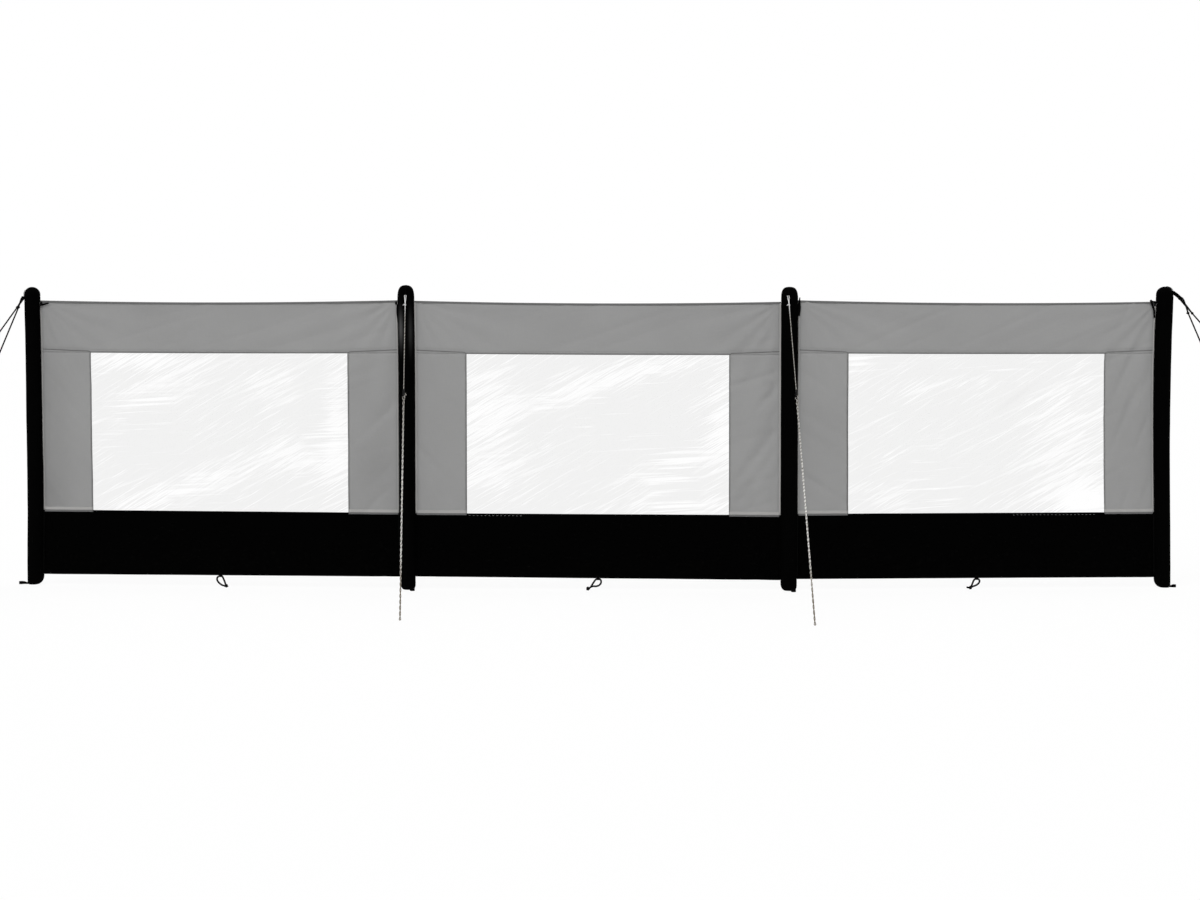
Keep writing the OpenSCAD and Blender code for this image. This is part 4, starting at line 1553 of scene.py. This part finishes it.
class Webbing:
    """Ribbons of webbing in one mesh, with a map in metres."""

    columns = 4

    def __init__(self) -> None:
        """Starts an empty mesh."""
        self.shape = bmesh.new()
        self.map = self.shape.loops.layers.uv.new("cloth")

    def add(self, route: Sequence[Vector], width: Vector) -> list[bmesh.types.BMVert]:
        """Draws a ribbon by pulling a route sideways.

        Args:
            route: points along its middle line.
            width: the whole width, as a vector across the route.

        Returns:
            The ribbon's vertices.
        """
        marks = [self.shape.verts.new(point - width / 2) for point in route]
        edges = [self.shape.edges.new(pair) for pair in zip(marks, marks[1:])]
        place, travelled = {}, 0.0
        for k, mark in enumerate(marks):
            travelled += (route[k] - route[k - 1]).length if k else 0.0
            place[mark] = (travelled, 0.0)
        for column in range(self.columns):
            made = bmesh.ops.extrude_edge_only(self.shape, edges=edges)["geom"]
            fresh = [item for item in made if isinstance(item, bmesh.types.BMVert)]
            edges = [item for item in made if isinstance(item, bmesh.types.BMEdge)
                     and all(end in fresh for end in item.verts)]
            bmesh.ops.translate(self.shape, verts=fresh, vec=width / self.columns)
            across = width.length * (column + 1) / self.columns
            for vert in fresh:
                source = next(edge.other_vert(vert) for edge in vert.link_edges if edge.other_vert(vert) in place)
                place[vert] = (place[source][0], across)
        for face in {face for vert in place for face in vert.link_faces}:
            for loop in face.loops:
                loop[self.map].uv = place[loop.vert]
        return list(place)

    def taper(self, route: Sequence[Vector], across: Vector, widths: Size) -> None:
        """Draws a ribbon whose width changes along it.

        Args:
            route: points along its middle line.
            across: unit direction across it.
            widths: widths at its start, middle and end.
        """
        middle = widths[1]
        aim = (route[-1] - route[0]).normalized()
        length = (route[-1] - route[0]).dot(aim)
        table = tuple(zip((0.0, 0.5, 1.0), widths))
        for vert in self.add(route, across * middle):
            width = read_off(table, min(1.0, max(0.0, (vert.co - route[0]).dot(aim) / length)))
            spine = min(route, key=lambda point: abs((vert.co - point).dot(aim)))
            vert.co += across * (vert.co - spine).dot(across) * (width / middle - 1)

    def finish(self, name: str, surface: Surface, depth: float, nodes: Sequence[str] = ()) -> None:
        """Finishes the ribbons as thick webbing with soft edges."""
        bmesh.ops.recalc_face_normals(self.shape, faces=self.shape.faces)
        piece = finish_piece(self.shape, name, surface, "webbing_black", nodes)
        thicken(piece, depth)
        soft = piece.modifiers.new("soft_edges", "BEVEL")
        soft.width, soft.segments, soft.limit_method = depth * 0.3, 2, "ANGLE"


@dataclass
class GuyStraps:
    """Webbing straps that hold the guy lines at the shoulders of the posts."""

    guys: Sequence[GuyLine]
    sleeves: dict[Post, PostSleeve]
    finishes: Finishes
    lift: float = 0.0012
    sewn: float = 0.030
    skin: float = 0.003
    crown_gap: float = 0.004
    climb: float = 0.0005
    plate_widths: Size = (0.012, 0.011, 0.006)
    part: float = 0.0016
    spacing: float = 0.0016
    tacks: int = 9

    def lie(self, guy: GuyLine) -> list[Vector]:
        """Lays a strap's root on its sleeve, up from where the strap leaves it.

        Args:
            guy: the line that the strap holds.

        Returns:
            Points on the sleeve, from the root down to the strap's start.
        """
        sleeve = self.sleeves[guy.post]
        a, tilt = math.radians(guy.strap_bearing), math.tan(math.radians(guy.strap_tilt))
        z = RUN.top_z + guy.strap_rise
        out = guy.strap_out + RUN.post_r - RUN.lean(guy.post, z) * math.cos(a)
        eye_z, limit = z, RUN.post_h - self.crown_gap
        while out - (z - eye_z) / tilt > sleeve.radius(z) + self.skin and z < limit:
            z += self.climb
        crown = min(z + self.sewn, RUN.post_h - 0.0004)
        points = []
        for k in range(9):
            high = crown + (z - crown) * k / 8
            out = sleeve.radius(high) + self.lift
            points.append(sleeve.axis(high) + Vector((out * math.cos(a), out * math.sin(a), self.lift)))
        return points

    def build(self) -> None:
        """Builds all the straps as one piece, with their bar tacks."""
        straps, tacks = Webbing(), Scatter()
        for guy in self.guys:
            out, side, eye = guy.strap_dir, guy.strap_side, guy.eye
            up = side.cross(out)
            up = up if up.z > 0 else -up
            r = guy.rope_r + guy.gap + guy.strap_t / 2
            root = self.lie(guy)
            start, half = root[-1], root[-1].lerp(eye, 0.5)
            bend = [eye + r * (out * math.cos(a) + up * math.sin(a))
                    for a in (math.pi * (0.5 - k / 12) for k in range(13))]
            route = [*root, half + up * self.part, *bend, half - up * self.part, start - up * 0.001]
            straps.add(smooth_route(route, self.spacing), side * guy.strap_w)
            if self.sleeves[guy.post].at_end:
                plate = [start - up * 0.003, start.lerp(eye, 0.4) - up * 0.001, eye + out * r]
                straps.taper(smooth_route(plate, self.spacing), up, self.plate_widths)
            turn = Matrix((side, out, up)).transposed().to_4x4()
            for k in range(self.tacks):
                spot = start.lerp(eye, 0.35) + side * guy.strap_w * (k - self.tacks // 2) / 10
                tacks.add(Matrix.Translation(spot) @ turn @ Matrix.Diagonal((0.00035, 0.0014, 0.0024, 1)))
        straps.finish("guy_strap_webbing", self.finishes.webbing, self.guys[0].strap_t, ["guy_straps"])
        finish_piece(tacks.whole(), "guy_strap_tacks", self.finishes.thread_black, "webbing_black")


@dataclass
class FootEyes:
    """Webbing eyes at the feet of the posts, for pegs."""

    finishes: Finishes
    bearings: tuple[float, ...] = (180.0, -67.0, -75.0, 0.0)
    outs: tuple[float, ...] = (0.0645, 0.0640, 0.0640, 0.0510)
    eye_r: float = 0.0092
    height: float = 0.012
    lift: float = 0.0004
    root: float = 0.030
    webbing_t: float = 0.0022

    def build(self) -> None:
        """Builds the four eyes as one piece."""
        webbing = Webbing()
        for post, degrees, out in zip(Post, self.bearings, self.outs):
            foot = RUN.post_at(post) + Vector((RUN.lean(post, 0.0), 0, 0))
            aim = Matrix.Translation(foot) @ Matrix.Rotation(math.radians(degrees), 4, "Z")
            middle = self.lift + self.height / 2
            neck = out - self.eye_r - 0.0063
            leg = [(self.root, 0.0014), (neck - 0.005, 0.0014), (neck, 0.0019)]
            ring = [(out + self.eye_r * math.cos(a), self.eye_r * math.sin(a))
                    for a in (math.radians(152) * (1 - k / 8) for k in range(17))]
            line = leg + ring + [(x, -y) for x, y in reversed(leg)]
            route = [aim @ Vector((x, y, middle)) for x, y in line]
            back = aim.inverted()
            for vert in webbing.add(smooth_route(route, 0.002), Vector((0, 0, self.height))):
                near = (back @ vert.co).x
                pinch = 0.6 + 0.4 * min(1.0, max(0.0, (near - 0.036) / 0.016))
                vert.co.z = self.lift + (vert.co.z - self.lift) * pinch
        webbing.finish("foot_eye_webbing", self.finishes.webbing, self.webbing_t, ["foot_peg_eyes"])


@dataclass(frozen=True)
class LoopShape:
    """How a peg loop hangs from its tab, in loop units: its long strand, its short one and its knot."""

    bulge: Table
    back: Table
    knot: Span
    aside: float = 0.0


LOOP_SHAPES = {
    Bay.LEFT: LoopShape(
        ((0.0, 0.0), (-1.6, -0.1), (-3.0, -0.9), (-3.6, -2.4), (-2.9, -4.5), (-1.0, -6.4), (1.2, -7.8),
         (3.4, -8.5), (5.2, -9.0), (6.4, -9.1), (7.6, -8.6)),
        ((0.0, 0.0), (1.3, 0.0), (2.2, -0.8), (3.2, -2.8), (4.3, -5.0), (5.0, -7.0), (5.5, -8.5)),
        (5.8, -8.8), 0.17),
    Bay.MIDDLE: LoopShape(
        ((0.0, 0.0), (1.7, 0.1), (2.8, -0.7), (3.3, -2.1), (2.7, -4.0), (0.9, -5.6), (-1.8, -6.3), (-4.4, -6.3),
         (-6.9, -7.0), (-9.2, -8.5), (-11.0, -9.4)),
        ((0.0, 0.0), (-1.4, 0.0), (-2.6, -0.8), (-4.0, -2.6), (-5.4, -4.6), (-6.4, -6.2), (-7.0, -7.0)),
        (-9.6, -8.6)),
    Bay.RIGHT: LoopShape(
        ((0.0, 0.0), (1.4, 0.1), (2.6, -0.7), (3.0, -2.0), (2.0, -3.9), (-0.6, -5.6), (-3.2, -6.4),
         (-5.2, -7.2), (-6.4, -7.6), (-8.4, -7.6), (-10.2, -7.3)),
        ((0.0, 0.0), (-1.3, 0.0), (-2.4, -0.7), (-3.4, -2.2), (-4.4, -4.4), (-5.2, -6.2), (-5.8, -7.2)),
        (-6.2, -7.8), -0.15)}


@dataclass
class PegLoop:
    """A cord loop under a bay's bottom hem, tied in a knot."""

    bay: Bay
    finishes: Finishes
    hang: LoopShape
    cord_d: float = 0.0080
    knot_r: float = 0.0094
    drop: float = 0.0044
    unit: float = 0.00434
    spacing: float = 0.0025

    def at(self, x: float, z: float, y: float = 0.0) -> Vector:
        """Place of a point given from the loop's tab, in metres."""
        local = Vector((RUN.pitch / 2 + x, y - RUN.cloth_t / 2, RUN.hem_z - self.drop + z))
        return RUN.at(self.bay, local)

    def hung(self, x: float, z: float) -> Vector:
        """Place of a point of the hanging loop, given in loop units; it swings to the front as it falls."""
        out = min(0.0, z) * self.unit
        return self.at(x * self.unit, z * self.unit) + Vector((-self.hang.aside * out, out, 0))

    @property
    def label(self) -> str:
        """Name of the loop as its node carries it."""
        return f"{self.bay.name.lower()}_peg_loop"

    def strand(self, name: str, shares: Table) -> tuple[Piece, float]:
        """Makes one strand of the loop as a round cord.

        Args:
            name: name of the strand.
            shares: its route from the tab, in loop units.

        Returns:
            The cord and its length.
        """
        fine = smooth_route([self.hung(x, z) for x, z in shares], self.spacing)
        line = bpy.data.curves.new(f"{self.label}_{name}", "CURVE")
        line.dimensions, line.bevel_depth, line.bevel_resolution = "3D", self.cord_d / 2, 4
        line.use_fill_caps = True
        spline = line.splines.new("POLY")
        spline.points.add(len(fine) - 1)
        for mark, point in zip(spline.points, fine):
            mark.co = (*point, 1.0)
        line.materials.append(self.finishes.cord)
        cord = put_in(line.name, line)
        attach(cord, BODY)
        LOG.info("%s: %d points", cord.name, len(fine))
        return cord, sum((b - a).length for a, b in zip(fine, fine[1:]))

    def build(self) -> None:
        """Builds both strands and the knot that ties them."""
        knot = self.build_knot()
        exit_point = tuple(self.at(0.0, 0.0))
        cord, length = self.strand("cord", self.hang.bulge)
        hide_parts(self.label)
        cord, length = self.strand("return", self.hang.back)

    def build_knot(self) -> Piece:
        """Ties the knot on the cord's tail.

        Returns:
            The knot.
        """
        before, end, centre = (self.hung(x, z)
                               for x, z in (self.hang.bulge[-3], self.hang.bulge[-1], self.hang.knot))
        rope = RopeSweep(sides=9)
        centre.z = max(centre.z, self.knot_r)
        rope.knot(centre, (end - before).normalized(), self.knot_r, self.cord_d / 2)
        return finish_piece(rope.shape, f"{self.label}_knot", self.finishes.cord, "cord_black",
                            ["peg_loop_knots"])


@dataclass
class PegTabs:
    """Webbing tabs that carry the peg loops at the bottom hem."""

    loops: Sequence[PegLoop]
    finishes: Finishes
    width: float = 0.016
    radius: float = 0.0036
    webbing_t: float = 0.0011
    leg: Table = ((-0.0036, 0.018), (-0.0037, 0.010), (-0.0036, 0.004))

    def build(self) -> None:
        """Builds the three tabs as one piece."""
        webbing = Webbing()
        bend = [(self.radius * math.cos(a), self.radius * math.sin(a))
                for a in (math.pi * (1 + k / 10) for k in range(11))]
        line = [*self.leg, *bend, *((-y, z) for y, z in reversed(self.leg))]
        for loop in self.loops:
            route = [loop.at(0.0, z, y) for y, z in line]
            across = loop.at(0.001, 0.0) - loop.at(0.0, 0.0)
            webbing.add(smooth_route(route, 0.0015), across.normalized() * self.width)
        webbing.finish("peg_tab_webbing", self.finishes.webbing, self.webbing_t, ["peg_loop_tabs"])


@dataclass
class ZipRuns:
    """Coil zips between the outer bays and their posts."""

    finishes: Finishes
    ends: tuple[tuple[Bay, Edge], ...] = (
        (Bay.LEFT, Edge.START), (Bay.LEFT, Edge.FINISH), (Bay.RIGHT, Edge.START), (Bay.RIGHT, Edge.FINISH))
    pitch: float = 0.0027
    inset: float = 0.0006
    depth: float = -0.0042
    clear: float = 0.015
    lean: float = 0.35
    tooth: Size = (0.0026, 0.0013, 0.0009)

    def build(self) -> None:
        """Builds the coils as one piece."""
        teeth = Scatter()
        size = Matrix.Diagonal((*self.tooth, 1))
        leans = [Matrix.Rotation(lean, 4, "Y") @ size for lean in (-self.lean, self.lean)]
        for bay, edge in self.ends:
            x = RUN.edge_x + self.inset if edge is Edge.START else RUN.far_x - self.inset
            turn = RUN.bay_frame(bay).to_3x3().to_4x4()
            for k in range(int((RUN.top_z - 2 * self.clear - RUN.hem_z) / self.pitch)):
                spot = Vector((x, self.depth, RUN.hem_z + self.clear + k * self.pitch))
                teeth.add(Matrix.Translation(RUN.at(bay, spot)) @ turn @ leans[k % 2])
        finish_piece(teeth.whole(), "zip_coils", self.finishes.coil, "plastic_black")


@dataclass(frozen=True)
class Tape:
    """A tapered strip of webbing: its route from a slider's middle and its widths along it."""

    route: Table
    widths: Size


@dataclass(frozen=True)
class Pull:
    """One zip's slider, the tapes sewn to it and the bead on their end."""

    bay: Bay
    edge: Edge
    tapes: tuple[Tape, ...]
    bead: Size | None = None


@dataclass
class ZipPulls:
    """Sliders at the tops of the outer bays' zips, with tapered webbing pulls."""

    finishes: Finishes
    pulls: tuple[Pull, ...] = (
        Pull(Bay.LEFT, Edge.START, (
            Tape(((-0.004, -0.009), (0.010, -0.006), (0.024, -0.003), (0.037, 0.000)), (0.010, 0.009, 0.004)),),
            (-0.0035, -0.0175, 0.0034)),
        Pull(Bay.LEFT, Edge.FINISH, (
            Tape(((-0.006, -0.006), (-0.006, -0.028), (-0.007, -0.056), (-0.008, -0.086)),
                 (0.008, 0.011, 0.005)),)),
        Pull(Bay.RIGHT, Edge.START, (
            Tape(((0.001, 0.024), (-0.001, 0.000), (-0.001, -0.030), (-0.003, -0.056)),
                 (0.004, 0.013, 0.008)),)),
        Pull(Bay.RIGHT, Edge.FINISH, (
            Tape(((0.019, 0.013), (0.012, 0.012), (0.004, 0.011), (-0.004, 0.009)), (0.008, 0.007, 0.009)),
            Tape(((0.019, 0.013), (0.012, -0.006), (0.004, -0.028), (0.001, -0.060)), (0.009, 0.009, 0.006))),
            (0.020, 0.0145, 0.0052)))
    slider: Size = (0.010, 0.006, 0.013)
    front: float = -0.0012
    drop: float = 0.013
    tape_t: float = 0.0022

    def at(self, pull: Pull, x: float, y: float, z: float) -> Vector:
        """Place of a point given from a slider's middle, X away from its post."""
        inset = 0.0002 + self.slider[0] / 2 + x
        along = RUN.edge_x + inset if pull.edge is Edge.START else RUN.far_x - inset
        return RUN.at(pull.bay, Vector((along, y, RUN.top_z - self.drop + z)))

    def build(self) -> None:
        """Builds the sliders and the pulls."""
        sliders, tapes = bmesh.new(), Webbing()
        for pull in self.pulls:
            self.add_slider(sliders, pull)
            for tape in pull.tapes:
                self.add_tape(tapes, pull, tape)
        bmesh.ops.recalc_face_normals(sliders, faces=sliders.faces)
        finish_piece(sliders, "zip_sliders", self.finishes.plastic, "plastic_black", ["zip_pulls"],
                     smooth=False)
        tapes.finish("zip_pull_webbing", self.finishes.webbing, self.tape_t)

    def add_slider(self, shape: Shape, pull: Pull) -> None:
        """Adds one slider: a waisted body with rounded edges and a bail.

        Args:
            shape: mesh to add to.
            pull: the slider's place.
        """
        width, depth, height = self.slider
        seat = (Matrix.Translation(self.at(pull, 0.0, self.front - depth / 2, 0.0))
                @ Matrix.Rotation((pull.bay.value - 1) * RUN.bow, 4, "Z"))
        body = bmesh.new()
        bmesh.ops.create_cube(body, size=1.0, matrix=Matrix.Diagonal((width, depth * 0.72, height, 1)))
        upright = [edge for edge in body.edges if abs(edge.verts[0].co.z - edge.verts[1].co.z) > 1e-4]
        bmesh.ops.subdivide_edges(body, edges=upright, cuts=3)
        for vert in body.verts:
            vert.co.x *= 1 - 0.28 * max(0.0, -vert.co.z / height * 2)
        bmesh.ops.bevel(body, geom=[e for e in body.edges if e.calc_face_angle(0.0) > 0.6], offset=0.0009,
                        affect="EDGES", segments=2, profile=0.5, material=-1)
        for k in range(9):
            a = math.pi * k / 8
            ball = Matrix.Translation((0, -depth * 0.36 - 0.0016 * math.sin(a), 0.004 * math.cos(a)))
            bmesh.ops.create_icosphere(body, subdivisions=1, radius=0.0011, matrix=ball)
        if pull.bead:
            x, z, size = pull.bead
            side = 1 if pull.edge is Edge.START else -1
            middle = Matrix.Translation((side * x, -depth / 2 - self.tape_t, z))
            bmesh.ops.create_icosphere(body, subdivisions=3, radius=size,
                                       matrix=middle @ Matrix.Diagonal((1, 0.7, 1.15, 1)))
        body.transform(seat)
        merge(body, shape)

    def add_tape(self, tapes: Webbing, pull: Pull, tape: Tape) -> None:
        """Adds one tapered tape.

        Args:
            tapes: the webbing to add to.
            pull: the pull that it belongs to.
            tape: its route and widths.
        """
        y = self.front - self.slider[1] - self.tape_t * 0.7
        route = smooth_route([self.at(pull, x, y, z) for x, z in tape.route], 0.002)
        aim = (route[-1] - route[0]).normalized()
        across = aim.cross(RUN.bay_frame(pull.bay).to_3x3() @ Vector((0, 1, 0))).normalized()
        tapes.taper(route, across, tape.widths)


class Hardware:
    """Moulded fittings that keep their CAD shapes."""

    nodes = ("guy_runners", "air_valves")

    def dress(self, finishes: Finishes) -> None:
        """Gives the fittings their plastic.

        Args:
            finishes: the windbreak's finishes.
        """
        for node in self.nodes:
            piece = bpy.data.objects[node]
            if not piece.data.materials:
                piece.data.materials.append(finishes.plastic)
            for slot in piece.material_slots:
                slot.material = finishes.plastic
            LOG.info("%s: dressed", node)


@dataclass(frozen=True)
class Studio:
    """The camera, the pale floor and the soft light."""

    place: Size = (2.571721, -9.144807, 1.1281)
    lens: float = 62.6667
    pitch: float = math.radians(3.3178)
    yaw: float = math.radians(0.5794)
    roll: float = math.radians(0.0880)
    sky: float = 0.52
    key: float = 1.73
    lamps: tuple[tuple[str, float, float, float], ...] = (
        ("key", 1.0, -20.0, 48.0), ("fill", 0.35, 150.0, 52.0))
    lamp_angle: float = math.radians(50.0)
    floor_z: float = -0.0006
    floor_tone: float = 0.90
    floor_white: float = 0.92

    def set_camera(self) -> None:
        """Stands the camera where the photograph was taken."""
        data = bpy.data.cameras.new("viewpoint")
        data.sensor_width, data.sensor_fit, data.lens = 36.0, "HORIZONTAL", self.lens
        data.clip_end = 300.0
        camera = put_in("viewpoint", data)
        camera.matrix_world = (Matrix.Translation(self.place) @ Matrix.Rotation(self.yaw, 4, "Z")
                               @ Matrix.Rotation(math.pi / 2 - self.pitch, 4, "X")
                               @ Matrix.Rotation(self.roll, 4, "Z"))
        bpy.context.scene.camera = camera

    def set_light(self) -> None:
        """Lights the scene with a white sky and two broad lamps."""
        scene = bpy.context.scene
        scene.view_settings.view_transform = "Standard"
        world = bpy.data.worlds.new("studio")
        world.use_nodes = True
        scene.world = world
        pad = NodePad(world.node_tree)
        rays = pad.add("ShaderNodeLightPath").outputs
        seen = pad.math("MAXIMUM", rays["Is Camera Ray"], rays["Is Transmission Ray"])
        seen = pad.math("MAXIMUM", seen, rays["Is Glossy Ray"])
        soft = pad.add("ShaderNodeBackground", {"Color": (1, 1, 1, 1), "Strength": self.sky})
        white = pad.add("ShaderNodeBackground", {"Color": (1, 1, 1, 1), "Strength": 1.0})
        mixed = pad.add("ShaderNodeMixShader", {0: seen, 1: soft.outputs[0], 2: white.outputs[0]})
        pad.add("ShaderNodeOutputWorld", {"Surface": mixed.outputs[0]})
        for name, share, turn, lift in self.lamps:
            data = bpy.data.lights.new(name, "SUN")
            data.energy, data.angle = self.key * share, self.lamp_angle
            put_in(name, data).rotation_euler = (math.radians(90.0 - lift), 0.0, math.radians(turn))

    def set_floor(self) -> None:
        """Lays the pale floor."""
        shape = bmesh.new()
        bmesh.ops.create_grid(shape, x_segments=24, y_segments=24, size=60.0,
                              matrix=Matrix.Translation((2.5, 0.0, self.floor_z)))
        mesh = bpy.data.meshes.new("floor")
        shape.to_mesh(mesh)
        shape.free()
        surface, pad = start_material("floor_pale")
        rays = pad.add("ShaderNodeLightPath").outputs
        seen = pad.math("MAXIMUM", rays["Is Camera Ray"], rays["Is Glossy Ray"])
        share = pad.math("MAXIMUM", pad.math("MULTIPLY", seen, self.floor_white), rays["Is Transmission Ray"])
        paint = pad.add("ShaderNodeBsdfDiffuse", {"Color": shade(self.floor_tone)})
        white = pad.add("ShaderNodeEmission", {"Color": (1, 1, 1, 1), "Strength": 1.0})
        both = pad.add("ShaderNodeMixShader", {0: share, 1: paint.outputs[0], 2: white.outputs[0]})
        pad.add("ShaderNodeOutputMaterial", {"Surface": both.outputs[0]})
        mesh.materials.append(surface)
        floor = put_in("floor", mesh)
        floor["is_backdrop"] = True


def guy_lines(finishes: Finishes) -> list[GuyLine]:
    """Gives the eight guy lines.

    Args:
        finishes: the windbreak's finishes.

    Returns:
        The lines, from left to right, front before rear.
    """
    pale, dark = finishes.rope_pale, finishes.rope_dark
    inner = dict(strap_w=0.003, fork_w=0.0032, rope_r=0.0019)
    ends = dict(reach=1.1742, strap_rise=0.013, rope_r=0.0036, knot_size=1.9, tail_l=0.006)
    left = dict(strap_out=0.01105, strap_tilt=45.0, fork_l=0.050, **ends)
    right = dict(strap_out=0.0364, strap_tilt=36.0, fork_l=0.074, fork_bulge=0.2, **ends)
    return [GuyLine(Post.LEFT_END, "front", 195, 258, dark, **left),
            GuyLine(Post.LEFT_END, "rear", 165, 157, dark, **left),
            GuyLine(Post.LEFT_INNER, "front", -86, -85.7, pale, reach=0.9785, **inner),
            GuyLine(Post.LEFT_INNER, "rear", 90, 90, pale, **inner),
            GuyLine(Post.RIGHT_INNER, "front", -100, -89, pale, reach=1.0815, **inner),
            GuyLine(Post.RIGHT_INNER, "rear", 90, 90, pale, **inner),
            GuyLine(Post.RIGHT_END, "front", -15, -74.5, dark, **right),
            GuyLine(Post.RIGHT_END, "rear", 15, 2, dark, **right)]


def write_sizes() -> None:
    """Gathers the CAD box and the dressed box as plain numbers; nothing is written."""
    def plain(box: Sequence[Sequence[float]]) -> list[list[float]]:
        """Corners of a box as lists."""
        return [[float(value) for value in corner] for corner in box]
    {"cad": plain(CAD_BOX), "visual": plain(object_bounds())}


def main() -> None:
    """Builds the windbreak, the camera and the cords first."""
    logging.basicConfig(level=logging.INFO, format="%(name)s %(message)s")
    studio = Studio()
    studio.set_camera()
    finishes = Finishes()
    loops = [PegLoop(bay, finishes, LOOP_SHAPES[bay]) for bay in Bay]
    for loop in loops:
        loop.build()
    PegTabs(loops, finishes).build()
    eyes = FootEyes(finishes)
    sleeves = {post: PostSleeve(post, finishes, bearing) for post, bearing in zip(Post, eyes.bearings)}
    for sleeve in sleeves.values():
        sleeve.build()
    for bay in Bay:
        ClothBay(bay, finishes).build()
    guys = guy_lines(finishes)
    for guy in guys:
        guy.build()
    GuyStraps(guys, sleeves, finishes).build()
    RunnerCollars(guys, finishes.plastic).build()
    eyes.build()
    ZipRuns(finishes).build()
    ZipPulls(finishes).build()
    Hardware().dress(finishes)
    studio.set_floor()
    studio.set_light()
    write_sizes()


if __name__ == "__main__":
    main()
